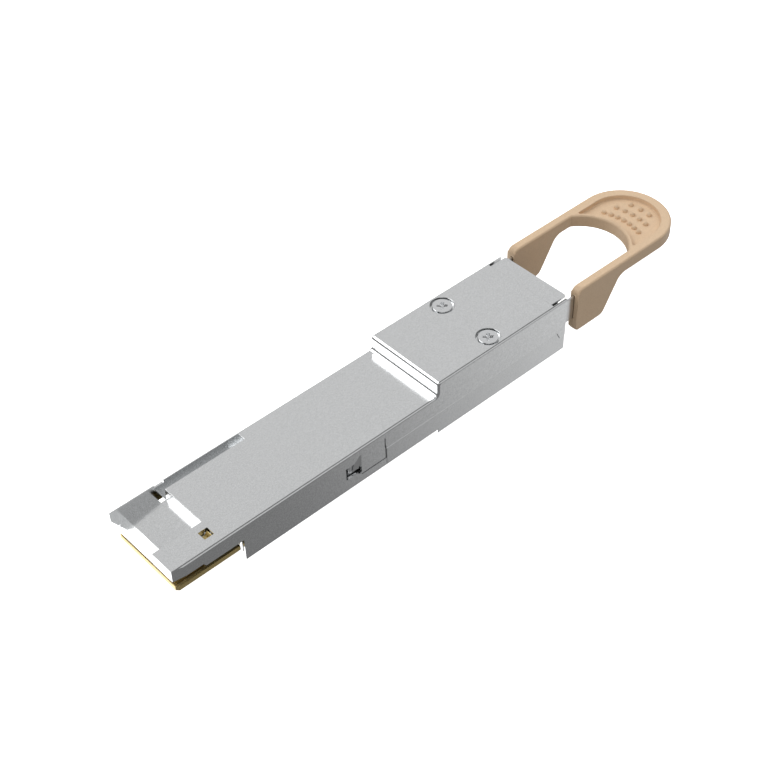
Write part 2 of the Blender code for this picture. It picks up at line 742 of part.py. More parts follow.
# ---- Board, contacts and electronics ------------------------------------------------
def mirrored(points):
    """Closes a half outline, given from front to rear on the +Y side, on the other side."""
    return points + [(x, -y) for x, y in reversed(points)]


def contact_outline():
    """A comb of contact fingers joined by a tie strip at their rear ends."""
    end = contact_start + contact_length
    tie = end - contact_tie
    half = contact_width / 2
    teeth = []
    for i in range(contact_spaces + 1):
        y = (i - contact_spaces / 2) * contact_pitch
        teeth += [(tie, y - half), (contact_start, y - half), (contact_start, y + half), (tie, y + half)]
    return teeth + [(end, teeth[-1][1]), (end, teeth[0][1])]


def build_board(material):
    chamfer = contact_width
    neck = shroud_length - board_neck_margin
    end = board_waist_station + board_tail_length
    half_outline = [(board_front, board_nose_half_width - chamfer),
                    (board_front + chamfer, board_nose_half_width),
                    (neck, board_nose_half_width), (neck, board_half_width),
                    (board_waist_station, board_half_width),
                    (board_waist_station, board_waist_half_width), (end, board_waist_half_width)]
    board = prism("main_board", mirrored(half_outline), "Z", board_bottom, board_top, material)
    pocket = piece_gap + contact_thickness - contact_proud
    row_half = contact_spaces / 2 * contact_pitch + contact_width / 2 + piece_gap
    span = (contact_start - piece_gap, contact_start + contact_length + piece_gap)
    cut(board, box("contact_bed_top", span, (-row_half, row_half),
                   (board_top - pocket, board_top + tool_margin)))
    cut(board, box("contact_bed_bottom", span, (-row_half, row_half),
                   (board_bottom - tool_margin, board_bottom + pocket)))
    return board


def build_chip(name, station, length, width, height, material, y=0.0, floor=chip_floor):
    half = width / 2
    return box(name, (station, station + length), (y - half, y + half), (floor, floor + height), material)


def build_thermal_pad(name, chip_station, length, width, chip_height, material):
    low = chip_floor + chip_height + piece_gap
    return box(name, (chip_station + pad_inset, chip_station + length - pad_inset),
               (-width / 2 + pad_inset, width / 2 - pad_inset), (low, front_ceiling - piece_gap), material)


# ---- Optical port -------------------------------------------------------------------
def build_port(material):
    port = box("port_housing", (port_station, body_length), (-port_outer, port_outer),
               (port_low, port_high), material)
    half_w = port_outer - port_side_wall
    half_h = (port_high - port_low) / 2 - port_end_wall
    mouth = (port_station + port_back_wall, body_length + tool_margin)
    cut(port, box("port_socket", mouth, (-half_w, half_w),
                  (port_centre_height - half_h, port_centre_height + half_h)))
    cut(port, box("port_key_slot", mouth, (-port_key_width / 2, port_key_width / 2),
                  (port_centre_height, port_centre_height + half_h + port_key_height)))
    window_w = ferrule_width / 2 + piece_gap
    window_h = ferrule_height / 2 + piece_gap
    cut(port, box("ferrule_window", (port_station - tool_margin, mouth[0] + weld_overlap),
                  (-window_w, window_w), (port_centre_height - window_h, port_centre_height + window_h)))
    return port


def build_ferrule(material):
    half_w = ferrule_width / 2
    half_h = ferrule_height / 2
    ferrule = box("fiber_ferrule", (ferrule_rear, ferrule_front), (-half_w, half_w),
                  (port_centre_height - half_h, port_centre_height + half_h), material)
    wide = half_w + ferrule_flange
    tall = half_h + ferrule_flange
    weld(ferrule, box("ferrule_flange", (ferrule_rear, ferrule_rear + ferrule_flange_length), (-wide, wide),
                      (port_centre_height - tall, port_centre_height + tall)))
    for side, name in ((1, "left"), (-1, "right")):
        spot = (side * guide_pin_offset, port_centre_height)
        cut(ferrule, rod("pin_bore_" + name, "X", spot, guide_pin_radius + piece_gap,
                         ferrule_front - guide_pin_length, ferrule_front + tool_margin, steps=12))
    return ferrule


def build_guide_pin(name, side, material):
    spot = (side * guide_pin_offset, port_centre_height)
    return rod(name, "X", spot, guide_pin_radius, ferrule_front - guide_pin_length + piece_gap,
               ferrule_front + guide_pin_length, material, steps=12)


def build_ferrule_clip(material):
    """A plate behind the ferrule that holds it, with a window for the ribbons."""
    back = ferrule_rear - piece_gap
    wide = ferrule_width / 2 + clip_margin
    tall = ferrule_height / 2 + clip_margin
    clip = box("ferrule_clip", (back - clip_thickness, back), (-wide, wide),
               (port_centre_height - tall, port_centre_height + tall), material)
    slot_w = ribbon_offset + ribbon_width / 2 + piece_gap
    slot_h = ribbon_thickness / 2 + piece_gap
    cut(clip, box("ribbon_slot", (back - tool_margin, back + tool_margin), (-slot_w, slot_w),
                  (port_centre_height - slot_h, port_centre_height + slot_h)))
    return clip


def build_ribbon(name, side, material):
    """A flat fibre ribbon that rises in a smooth S before the controller, then runs level."""
    start = engine_end + piece_gap + fiber_block_length + piece_gap
    low = chip_floor + fiber_block_height / 2
    rise = port_centre_height - low
    upper = []
    lower = []
    for i in range(ribbon_points):
        share = i / (ribbon_points - 1)
        x = start + (controller_station - start) * share
        z = low + rise * (1 - math.cos(math.pi * share)) / 2
        upper.append((x, z + ribbon_thickness / 2))
        lower.append((x, z - ribbon_thickness / 2))
    upper.append((ferrule_rear - piece_gap, port_centre_height + ribbon_thickness / 2))
    lower.append((ferrule_rear - piece_gap, port_centre_height - ribbon_thickness / 2))
    y = side * ribbon_offset
    return prism(name, lower + upper[::-1], "Y", y - ribbon_width / 2, y + ribbon_width / 2, material)


def build_gasket(name, side, material):
    """A conductive strip squeezed between the base wall and the roof."""
    inner = base_wall_inner + (base_wall_thickness - gasket_width) / 2
    span = sorted((side * inner, side * (inner + gasket_width)))
    low = front_ceiling - piece_gap - gasket_height
    return box(name, (channel_end + nose_panel_thickness + piece_gap, front_length - piece_gap), span,
               (low, low + gasket_height), material)


# ---- Assembly -----------------------------------------------------------------------
clear_scene()
datum = add_empty("nose_datum", (-total_length / 2, 0, 0))
latch_axis = add_empty("latch_axis", (screw_block_start, 0, spring_height), datum)

metal = make_material("satin_metal", (0.60, 0.61, 0.61), 0.32, 1.0)
cast_metal = make_material("cast_metal", (0.56, 0.57, 0.57), 0.38, 1.0)
spring_steel = make_material("spring_steel", (0.55, 0.56, 0.58), 0.30, 1.0)
screw_metal = make_material("screw_metal", (0.62, 0.63, 0.63), 0.25, 1.0)
beige_plastic = make_material("beige_plastic", (0.70, 0.52, 0.34), 0.55, 0.0)
board_green = make_material("board_laminate", (0.42, 0.33, 0.12), 0.35, 0.4)
gold = make_material("contact_gold", (0.85, 0.62, 0.20), 0.20, 1.0)
chip_black = make_material("chip_black", (0.03, 0.03, 0.035), 0.45, 0.0)
pad_grey = make_material("pad_grey", (0.35, 0.38, 0.42), 0.80, 0.0)
glass_clear = make_material("glass_block", (0.70, 0.78, 0.80), 0.10, 0.0)
ribbon_blue = make_material("ribbon_jacket", (0.15, 0.40, 0.60), 0.40, 0.0)
port_black = make_material("port_plastic", (0.05, 0.05, 0.055), 0.45, 0.0)
ferrule_dark = make_material("ferrule_plastic", (0.10, 0.10, 0.09), 0.35, 0.0)
gasket_dark = make_material("gasket_elastomer", (0.12, 0.12, 0.13), 0.70, 0.0)

build_top_cover(metal)
build_base(cast_metal)
build_screw("screw_left", 1, screw_metal)
build_screw("screw_right", -1, screw_metal)

attach(build_pull_tab(beige_plastic), latch_axis)
attach(build_latch_arm("latch_arm_left", 1, spring_steel), latch_axis)
attach(build_latch_arm("latch_arm_right", -1, spring_steel), latch_axis)
build_spring("return_spring_left", 1, spring_steel)
build_spring("return_spring_right", -1, spring_steel)

build_board(board_green)
prism("contacts_top", contact_outline(), "Z", board_top + contact_proud - contact_thickness,
      board_top + contact_proud, gold)
prism("contacts_bottom", contact_outline(), "Z", board_bottom - contact_proud,
      board_bottom - contact_proud + contact_thickness, gold)
build_chip("signal_processor", dsp_station, dsp_length, dsp_width, dsp_height, chip_black)
build_thermal_pad("processor_pad", dsp_station, dsp_length, dsp_width, dsp_height, pad_grey)
build_chip("photonics_engine", engine_station, engine_length, engine_width, engine_height, chip_black)
build_thermal_pad("engine_pad", engine_station, engine_length, engine_width, engine_height, pad_grey)
build_chip("clock_crystal", dsp_end + crystal_lead, *crystal_size, screw_metal)
build_chip("controller", controller_station, controller_size, controller_size, controller_height, chip_black)
for side, name in ((1, "left"), (-1, "right")):
    build_chip("power_inductor_" + name, dsp_end + inductor_lead, inductor_size, inductor_size,
               inductor_height, gasket_dark,
               side * (board_half_width - inductor_side_margin - inductor_size / 2))
    build_chip("laser_" + name, engine_end + piece_gap, *laser_size, screw_metal, side * laser_offset)
    build_gasket("shield_gasket_" + name, side, gasket_dark)
    build_guide_pin("guide_pin_" + name, side, screw_metal)
    build_ribbon("fiber_ribbon_" + name, side, ribbon_blue)
for number, offset in enumerate(capacitor_offsets, 1):
    build_chip("capacitor_%d" % number, dsp_end + capacitor_lead, *capacitor_size, pad_grey, offset)

build_chip("fiber_block", engine_end + piece_gap, fiber_block_length, fiber_block_width,
           fiber_block_height, glass_clear)
build_ferrule_clip(metal)
build_ferrule(ferrule_dark)
build_port(port_black)
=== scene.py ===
# %% [markdown]
# # Optical transceiver module
# This file dresses a small network module: a long flat metal housing with a step, a card edge under
# a sunken nose, latch sliders low on both sides and a moulded pull tab. The mechanical model is
# loaded first and never changed. Each visible part is then modelled again with its folds, rounded
# edges and fine details, and is given a finish made of shader nodes.

# %% Load the mechanical model
import json
import math

import bpy
from mathutils import Matrix, Vector

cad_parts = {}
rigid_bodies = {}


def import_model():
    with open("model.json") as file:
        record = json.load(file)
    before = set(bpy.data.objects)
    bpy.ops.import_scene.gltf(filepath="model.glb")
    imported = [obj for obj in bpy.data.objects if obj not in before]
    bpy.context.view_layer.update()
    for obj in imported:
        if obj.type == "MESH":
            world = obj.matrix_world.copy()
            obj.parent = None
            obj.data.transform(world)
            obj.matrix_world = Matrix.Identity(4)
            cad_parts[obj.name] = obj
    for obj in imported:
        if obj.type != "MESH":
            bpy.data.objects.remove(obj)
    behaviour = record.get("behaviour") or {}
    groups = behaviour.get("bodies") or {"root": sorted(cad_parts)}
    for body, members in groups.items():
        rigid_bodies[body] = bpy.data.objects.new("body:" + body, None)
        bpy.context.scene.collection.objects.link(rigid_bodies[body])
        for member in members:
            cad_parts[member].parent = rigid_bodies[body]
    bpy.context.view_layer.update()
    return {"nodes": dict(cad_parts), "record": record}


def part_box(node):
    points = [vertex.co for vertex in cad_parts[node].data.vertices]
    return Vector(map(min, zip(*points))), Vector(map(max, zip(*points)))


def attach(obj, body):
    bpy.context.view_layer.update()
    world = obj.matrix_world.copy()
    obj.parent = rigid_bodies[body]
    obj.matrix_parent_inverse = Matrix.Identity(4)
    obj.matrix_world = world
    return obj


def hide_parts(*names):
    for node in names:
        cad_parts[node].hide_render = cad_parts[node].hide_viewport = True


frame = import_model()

MM = 0.001

# %% [markdown]
# ## Stations
# On a long part it is easiest to think in stations: millimetres behind the nose tip. Half widths and
# heights are read from the mechanical model, so the visible parts follow it.

# %% Main sizes in millimetres
cover_low, cover_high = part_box("top_cover")
tab_low, tab_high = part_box("pull_tab")
cage_thickness = 8.5
nose_x = cover_low.x
half_width = cover_high.y / MM
rear_top = cover_high.z / MM
strip_end = (cover_high.x - nose_x) / MM
front_bottom = cover_low.z / MM
body_end = (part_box("base")[1].x - nose_x) / MM
front_top = front_bottom + cage_thickness
step_station = 60.42
seam_height = 5.15
skirt_end = 47.40


def spot(station, y, z):
    """A point in metres from a station, a sideways distance and a height in millimetres."""
    return Vector((nose_x + station * MM, y * MM, z * MM))


print("housing length", round(body_end, 2), "half width", round(half_width, 3))
print("rear top", round(rear_top, 2), "front top", round(front_top, 2))

# %% [markdown]
# ## Drawing tools
# Folded sheet and moulded parts both start as an outline. By hand one would extrude a single corner
# from point to point, fill the loop and pull it into a solid, and the helper below does exactly that.
# Blocks and round bars start as primitives and only ever serve as tools or as first lumps.

# %% Outline, solid and block helpers
def arc(centre, radius, start_deg, end_deg, steps):
    """Points on an arc in a flat drawing, both ends included."""
    turns = [math.radians(start_deg + (end_deg - start_deg) * i / steps) for i in range(steps + 1)]
    return [(centre[0] + radius * math.cos(turn), centre[1] + radius * math.sin(turn)) for turn in turns]


def choose(piece):
    """Makes one object the active and only selected one."""
    bpy.ops.object.select_all(action="DESELECT")
    piece.select_set(True)
    bpy.context.view_layer.objects.active = piece


def draw_solid(name, points, pull):
    """Extrudes a corner along the points, fills the loop and pulls it out into a solid."""
    bpy.ops.object.select_all(action="DESELECT")
    bpy.ops.mesh.primitive_plane_add(size=MM, location=points[0])
    piece = bpy.context.active_object
    piece.name = name
    bpy.ops.object.mode_set(mode="EDIT")
    bpy.ops.mesh.select_mode(type="VERT")
    bpy.ops.mesh.select_all(action="SELECT")
    bpy.ops.mesh.merge(type="CENTER")
    for here, there in zip(points, points[1:]):
        bpy.ops.mesh.extrude_vertices_move(TRANSFORM_OT_translate={"value": there - here})
    bpy.ops.mesh.select_all(action="SELECT")
    bpy.ops.mesh.edge_face_add()
    bpy.ops.mesh.extrude_region_move(TRANSFORM_OT_translate={"value": pull})
    bpy.ops.mesh.select_all(action="SELECT")
    bpy.ops.mesh.normals_make_consistent(inside=False)
    bpy.ops.object.mode_set(mode="OBJECT")
    bpy.ops.object.transform_apply(location=True, rotation=True, scale=True)
    return piece


def side_solid(name, outline, low, high):
    """A solid drawn from the side, (station, height), between two sideways distances."""
    return draw_solid(name, [spot(x, low, z) for x, z in outline], Vector((0, (high - low) * MM, 0)))


def plan_solid(name, outline, low, high):
    """A solid drawn from above, (station, sideways), between two heights."""
    return draw_solid(name, [spot(x, y, low) for x, y in outline], Vector((0, 0, (high - low) * MM)))


def block(name, x, y, z):
    """A box between (low, high) pairs along the three axes."""
    sizes = [abs(pair[1] - pair[0]) * MM for pair in (x, y, z)]
    middle = spot(sum(x) / 2, sum(y) / 2, sum(z) / 2)
    bpy.ops.object.select_all(action="DESELECT")
    bpy.ops.mesh.primitive_cube_add(size=1, location=middle, scale=sizes)
    bpy.ops.object.transform_apply(location=True, rotation=True, scale=True)
    piece = bpy.context.active_object
    piece.name = name
    return piece


def round_bar(name, axis, centre, radius, low, high, sides=48):
    """A cylinder along X or Z between two places, at a centre in the plane across it."""
    middle, turn = spot(centre[0], centre[1], (low + high) / 2), (0, 0, 0)
    if axis == "X":
        middle, turn = spot((low + high) / 2, centre[0], centre[1]), (0, math.pi / 2, 0)
    bpy.ops.object.select_all(action="DESELECT")
    bpy.ops.mesh.primitive_cylinder_add(vertices=sides, radius=radius * MM, depth=(high - low) * MM,
                                        location=middle, rotation=turn)
    bpy.ops.object.transform_apply(location=True, rotation=True, scale=True)
    piece = bpy.context.active_object
    piece.name = name
    return piece


print("drawing tools ready: side, plan, block and round bar")

# %% [markdown]
# ## Cutting, joining and rounding tools
# A stamped or cast part is a lump with bites taken out and ribs added, so a Boolean modifier does most
# of the shaping. Each one is applied at once and its tool removed. Afterwards only chosen edges are
# bevelled, because a folded edge, a stamped edge and a cut edge each have a different radius.

# %% Cut and join
def combine(piece, tool, operation):
    """Applies a Boolean between a piece and a tool, then removes the tool."""
    change = piece.modifiers.new("combine", "BOOLEAN")
    change.solver = "EXACT"
    change.operation = operation
    change.object = tool
    choose(piece)
    bpy.ops.object.modifier_apply(modifier="combine")
    bpy.data.objects.remove(tool, do_unlink=True)


def cut(piece, tool):
    """Takes the tool's shape out of the piece."""
    combine(piece, tool, "DIFFERENCE")


def join(piece, tool):
    """Adds the tool's shape to the piece."""
    combine(piece, tool, "UNION")


print("cutting tools ready, solver EXACT")


# %% Select and round edges
def open_selection(piece, kind, wanted):
    """Opens a piece in edit mode with only the wanted edges or faces selected."""
    choose(piece)
    bpy.ops.object.mode_set(mode="EDIT")
    bpy.ops.mesh.select_mode(type=kind)
    bpy.ops.mesh.select_all(action="DESELECT")
    bpy.ops.object.mode_set(mode="OBJECT")
    items = piece.data.edges if kind == "EDGE" else piece.data.polygons
    chosen = [item for item in items if wanted(item)]
    for item in chosen:
        item.select = True
    bpy.ops.object.mode_set(mode="EDIT")
    return len(chosen)


def merge_flat(piece):
    """Removes the leftover lines inside flat faces after cutting and joining."""
    choose(piece)
    bpy.ops.object.mode_set(mode="EDIT")
    bpy.ops.mesh.select_all(action="SELECT")
    bpy.ops.mesh.remove_doubles(threshold=0.002 * MM)
    bpy.ops.mesh.dissolve_limited(angle_limit=math.radians(0.5))
    bpy.ops.object.mode_set(mode="OBJECT")


def edge_ends(piece, edge):
    """Both ends of an edge in stations and millimetres."""
    ends = [piece.data.vertices[index].co for index in edge.vertices]
    return [Vector(((end.x - nose_x) / MM, end.y / MM, end.z / MM)) for end in ends]


def round_edges(piece, radius, steps, wanted):
    """Bevels the edges whose two ends pass a test."""
    count = open_selection(piece, "EDGE", lambda edge: wanted(*edge_ends(piece, edge)))
    bpy.ops.mesh.bevel(offset=radius * MM, segments=steps, affect="EDGES", clamp_overlap=False)
    bpy.ops.object.mode_set(mode="OBJECT")
    return count


def round_sharp(piece, radius, steps, angle, shortest=0.0):
    """Bevels every edge sharper than an angle and longer than a length."""
    choose(piece)
    bpy.ops.object.mode_set(mode="EDIT")
    bpy.ops.mesh.select_mode(type="EDGE")
    bpy.ops.mesh.select_all(action="DESELECT")
    bpy.ops.mesh.edges_select_sharp(sharpness=math.radians(angle))
    bpy.ops.object.mode_set(mode="OBJECT")
    sharp = {edge.index for edge in piece.data.edges if edge.select}

    def long_enough(edge):
        start, end = edge_ends(piece, edge)
        return edge.index in sharp and (start - end).length > shortest

    count = open_selection(piece, "EDGE", long_enough)
    bpy.ops.mesh.bevel(offset=radius * MM, segments=steps, affect="EDGES", clamp_overlap=False)
    bpy.ops.object.mode_set(mode="OBJECT")
    return count


def soften(piece, radius, steps=2):
    """Gives the long sharp edges a small radius and shades the piece."""
    round_sharp(piece, radius, steps, 35, 3.2 * radius)
    shade(piece)


def shade(piece, angle=24):
    """Shades smoothly across small angles and evens the normals of big flat faces."""
    choose(piece)
    bpy.ops.object.shade_smooth_by_angle(angle=math.radians(angle))
    even = piece.modifiers.new("even", "WEIGHTED_NORMAL")
    even.keep_sharp = True
    bpy.ops.object.modifier_apply(modifier="even")


def dress(piece, finish, slot, body, *nodes):
    """Gives a finished piece its material, its body and the mechanical nodes it stands for."""
    piece.data.materials.clear()
    piece.data.materials.append(finish)
    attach(piece, body)
    if nodes:
        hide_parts(*nodes)
    print(piece.name, len(piece.data.polygons), "faces")


print("rounding tools ready")

# %% [markdown]
# ## Camera
# A long lens far from a small part keeps its long edges nearly parallel. The camera looks down at the
# module from in front of its nose and to one side.

# %% Place the camera
camera_data = bpy.data.cameras.new("studio_camera")
camera_data.lens = 69.10
camera_data.sensor_width = 36.0
camera_data.clip_start = 0.01
camera_data.clip_end = 20.0
camera = bpy.data.objects.new("studio_camera", camera_data)
bpy.context.scene.collection.objects.link(camera)
camera.location = (-0.144103, -0.151078, 0.200305)
camera_right = Vector((0.73474, -0.67819, -0.01442))
camera_back = Vector((-0.48308, -0.53805, 0.69075))
camera_up = camera_back.cross(camera_right)
camera.rotation_euler = Matrix((camera_right, camera_up, camera_back)).transposed().to_euler()
bpy.context.scene.camera = camera
print("lens", round(camera_data.lens, 1), "mm, distance", round(camera.location.length, 3), "m")

# %% [markdown]
# ## Light
# Satin metal shows its surroundings, so the light is built as a soft studio: a world whose brightness
# changes slowly with direction. Each soft lobe below is one big diffuser: two long boxes above, three
# at the nose end and one low behind. Area lamps would do too, but lobes in the world have no hard rims
# to show up in the metal. Matt parts see one wide overhead light instead, and the camera sees white.

# %% Start the studio world
world = bpy.data.worlds.new("soft_studio")
bpy.context.scene.world = world
world.use_nodes = True
studio = world.node_tree
studio.nodes.clear()
link = studio.links.new
direction = studio.nodes.new("ShaderNodeTexCoord")
ray = studio.nodes.new("ShaderNodeLightPath")


def math_node(tree, operation, first, second):
    """One math node between two numbers or sockets."""
    node = tree.nodes.new("ShaderNodeMath")
    node.operation = operation
    for socket, value in zip(node.inputs, (first, second)):
        if isinstance(value, (int, float)):
            socket.default_value = value
        else:
            tree.links.new(value, socket)
    return node.outputs[0]


def diffuser(towards, edge, core, strength):
    """Brightness that rises smoothly as a ray turns towards one direction."""
    aim = studio.nodes.new("ShaderNodeVectorMath")
    aim.operation = "DOT_PRODUCT"
    aim.inputs[1].default_value = Vector(towards).normalized()
    link(direction.outputs["Generated"], aim.inputs[0])
    fade = studio.nodes.new("ShaderNodeMapRange")
    fade.interpolation_type = "SMOOTHSTEP"
    fade.inputs["From Min"].default_value = edge
    fade.inputs["From Max"].default_value = core
    fade.inputs["To Min"].default_value = 0.0
    fade.inputs["To Max"].default_value = strength
    link(aim.outputs["Value"], fade.inputs["Value"])
    return fade.outputs["Result"]


print("world:", world.name)


# %% Place the diffusers and sort them by kind of ray
def add_up(*values):
    """Adds several brightnesses with a chain of math nodes."""
    total = values[0]
    for value in values[1:]:
        total = math_node(studio, "ADD", total, value)
    return total


matt_share = ray.outputs["Is Diffuse Ray"]
camera_share = ray.outputs["Is Camera Ray"]
wide_overhead = diffuser((0.10, 0.45, 0.88), 0.05, 0.75, 0.72)
left_box = diffuser((0.45, 0.75, 0.45), 0.80, 0.89, 0.59)
right_box = diffuser((0.45, -0.75, 0.48), 0.84, 0.95, 0.54)
nose_upper = diffuser((-0.45, 0.54, 0.71), 0.86, 0.93, 3.2)
nose_lower = diffuser((-0.45, 0.54, -0.71), 0.89, 0.96, 2.4)
front_fill = diffuser((-0.40, -0.54, 0.74), 0.90, 0.97, 0.7)
low_rear = diffuser((0.90, -0.25, -0.35), 0.735, 0.92, 0.68)
matt_light = math_node(studio, "MULTIPLY", add_up(wide_overhead, 0.18), matt_share)
diffusers = (left_box, right_box, nose_upper, nose_lower, front_fill, low_rear)
glossy_share = math_node(studio, "SUBTRACT", 1.0, matt_share)
mirror_light = math_node(studio, "MULTIPLY", add_up(*diffusers), glossy_share)
room_light = 0.245
total = add_up(matt_light, mirror_light, room_light)
hidden = math_node(studio, "MULTIPLY", total, math_node(studio, "SUBTRACT", 1.0, camera_share))
shown = math_node(studio, "ADD", hidden, camera_share)
backdrop = studio.nodes.new("ShaderNodeBackground")
link(shown, backdrop.inputs["Strength"])
screen = studio.nodes.new("ShaderNodeOutputWorld")
link(backdrop.outputs[0], screen.inputs[0])
bpy.context.scene.view_settings.view_transform = "Standard"
print("diffusers:", len(diffusers))

# %% [markdown]
# ## Floor
# The module lies on a plain pale table. A large plane that glows a little stays evenly pale under it.
# It is hidden from soft and mirror rays, so that it doesn't light the metal from below.

# %% Lay the floor
floor_drop = 0.5 * MM
bpy.ops.object.select_all(action="DESELECT")
bpy.ops.mesh.primitive_plane_add(size=3.0, location=(0, 0, -floor_drop))
floor = bpy.context.active_object
floor.name = "pale_floor"
floor_finish = bpy.data.materials.new("pale_floor")
floor_finish.use_nodes = True
floor_shader = floor_finish.node_tree.nodes["Principled BSDF"]
floor_shader.inputs["Base Color"].default_value = (0.9, 0.9, 0.9, 1)
floor_shader.inputs["Roughness"].default_value = 0.9
floor_shader.inputs["Emission Color"].default_value = (1, 1, 1, 1)
floor_shader.inputs["Emission Strength"].default_value = 1.0
floor.data.materials.append(floor_finish)
floor.visible_diffuse = False
floor.visible_glossy = False
print("floor below the part, mm:", floor_drop / MM)

# %% [markdown]
# ## Finishes
# Plated sheet, cast metal and moulded plastic all have a very fine grain. An image could carry it, but
# noise follows every face without a seam. One node group makes it: two sizes of noise give a height
# for the bump and a mask that shifts colour and gloss a little. Each material places the group with
# its own scale and strength.

# %% Fine grain as a node group
def make_group(name, inputs, outputs):
    """A node group with number inputs and the named outputs."""
    group = bpy.data.node_groups.new(name, "ShaderNodeTree")
    for label, default in inputs:
        socket = group.interface.new_socket(name=label, in_out="INPUT", socket_type="NodeSocketFloat")
        socket.default_value = default
    for label, kind in outputs:
        group.interface.new_socket(name=label, in_out="OUTPUT", socket_type=kind)
    return group, group.nodes.new("NodeGroupInput"), group.nodes.new("NodeGroupOutput")


grain, grain_in, grain_out = make_group(
    "fine_grain",
    [("Scale", 4000.0), ("Coarse Share", 0.18), ("Blotch Scale", 90.0)],
    [("Height", "NodeSocketFloat"), ("Mask", "NodeSocketFloat"), ("Blotch", "NodeSocketFloat")],
)
grain_place = grain.nodes.new("ShaderNodeTexCoord")


def grain_noise(scale, detail, roughness):
    """A noise texture inside the group, in the piece's own coordinates."""
    noise = grain.nodes.new("ShaderNodeTexNoise")
    noise.inputs["Detail"].default_value = detail
    noise.inputs["Roughness"].default_value = roughness
    grain.links.new(grain_place.outputs["Object"], noise.inputs["Vector"])
    grain.links.new(scale, noise.inputs["Scale"])
    return noise.outputs["Fac"]


fine = grain_noise(grain_in.outputs["Scale"], 2.0, 0.6)
coarse = grain_noise(math_node(grain, "MULTIPLY", grain_in.outputs["Scale"], 0.35), 2.0, 0.5)
blotch = grain_noise(grain_in.outputs["Blotch Scale"], 3.0, 0.5)
mixed = grain.nodes.new("ShaderNodeMix")
grain.links.new(grain_in.outputs["Coarse Share"], mixed.inputs["Factor"])
grain.links.new(fine, mixed.inputs["A"])
grain.links.new(coarse, mixed.inputs["B"])
grain.links.new(mixed.outputs["Result"], grain_out.inputs["Height"])
grain.links.new(mixed.outputs["Result"], grain_out.inputs["Mask"])
grain.links.new(blotch, grain_out.inputs["Blotch"])
print("grain group nodes:", len(grain.nodes))


# %% One material builder for every finish
def shift(tree, mask, low, high):
    """Maps a noise mask to a narrow range of values."""
    node = tree.nodes.new("ShaderNodeMapRange")
    node.inputs["From Min"].default_value = 0.3
    node.inputs["From Max"].default_value = 0.7
    node.inputs["To Min"].default_value = low
    node.inputs["To Max"].default_value = high
    tree.links.new(mask, node.inputs["Value"])
    return node.outputs["Result"]


def make_finish(name, dark, light, metallic, gloss, grain_scale, bump, level=0.5):
    """A finish between two colours, with its roughness range and its grain's size and depth."""
    finish = bpy.data.materials.new(name)
    finish.use_nodes = True
    tree = finish.node_tree
    shader = tree.nodes["Principled BSDF"]
    shader.inputs["Metallic"].default_value = metallic
    shader.inputs["Specular IOR Level"].default_value = level
    grained = tree.nodes.new("ShaderNodeGroup")
    grained.node_tree = grain
    grained.inputs["Scale"].default_value = grain_scale
    tone = tree.nodes.new("ShaderNodeMix")
    tone.data_type = "RGBA"
    tone.inputs["A"].default_value = (*dark, 1)
    tone.inputs["B"].default_value = (*light, 1)
    tree.links.new(shift(tree, grained.outputs["Mask"], 0.0, 1.0), tone.inputs["Factor"])
    tree.links.new(tone.outputs["Result"], shader.inputs["Base Color"])
    tree.links.new(shift(tree, grained.outputs["Blotch"], *gloss), shader.inputs["Roughness"])
    relief = tree.nodes.new("ShaderNodeBump")
    relief.inputs["Strength"].default_value = bump
    relief.inputs["Distance"].default_value = 0.02 * MM
    tree.links.new(grained.outputs["Height"], relief.inputs["Height"])
    tree.links.new(relief.outputs["Normal"], shader.inputs["Normal"])
    return finish


print("material builder ready")

# %% [markdown]
# ## Metals
# The cover is plated sheet with a satin surface, the base is a plated casting and a little rougher, and
# the sliders and screws are smoother. The card's edge and its pads are gilded. All take the builder.

# %% Make the metal finishes
satin_metal = make_finish("satin_metal", (0.71, 0.72, 0.725), (0.87, 0.88, 0.885), 1.0, (0.16, 0.20),
                          4200.0, 0.50)
cast_metal = make_finish("cast_metal", (0.74, 0.75, 0.755), (0.83, 0.84, 0.845), 1.0, (0.18, 0.24),
                         4500.0, 0.4)
spring_steel = make_finish("spring_steel", (0.76, 0.77, 0.78), (0.82, 0.83, 0.84), 1.0, (0.20, 0.28),
                           5000.0, 0.1)
screw_metal = make_finish("screw_metal", (0.78, 0.79, 0.80), (0.85, 0.86, 0.87), 1.0, (0.16, 0.24),
                          5000.0, 0.08)
gold_laminate = make_finish("gold_laminate", (0.62, 0.48, 0.20), (0.72, 0.56, 0.25), 0.75, (0.20, 0.28),
                            2500.0, 0.1)
contact_gold = make_finish("contact_gold", (0.80, 0.60, 0.24), (0.88, 0.68, 0.30), 1.0, (0.14, 0.20),
                           4000.0, 0.05)
metals = (satin_metal, cast_metal, spring_steel, screw_metal, gold_laminate, contact_gold)
print("metal finishes:", [metal.name for metal in metals])

# %% [markdown]
# ## Plastics and the rest
# The pull tab is a matt moulding with a weak highlight. The parts inside are dark packages, soft grey
# pads, a clear block and a coloured ribbon, each a plain colour pair with its own gloss.

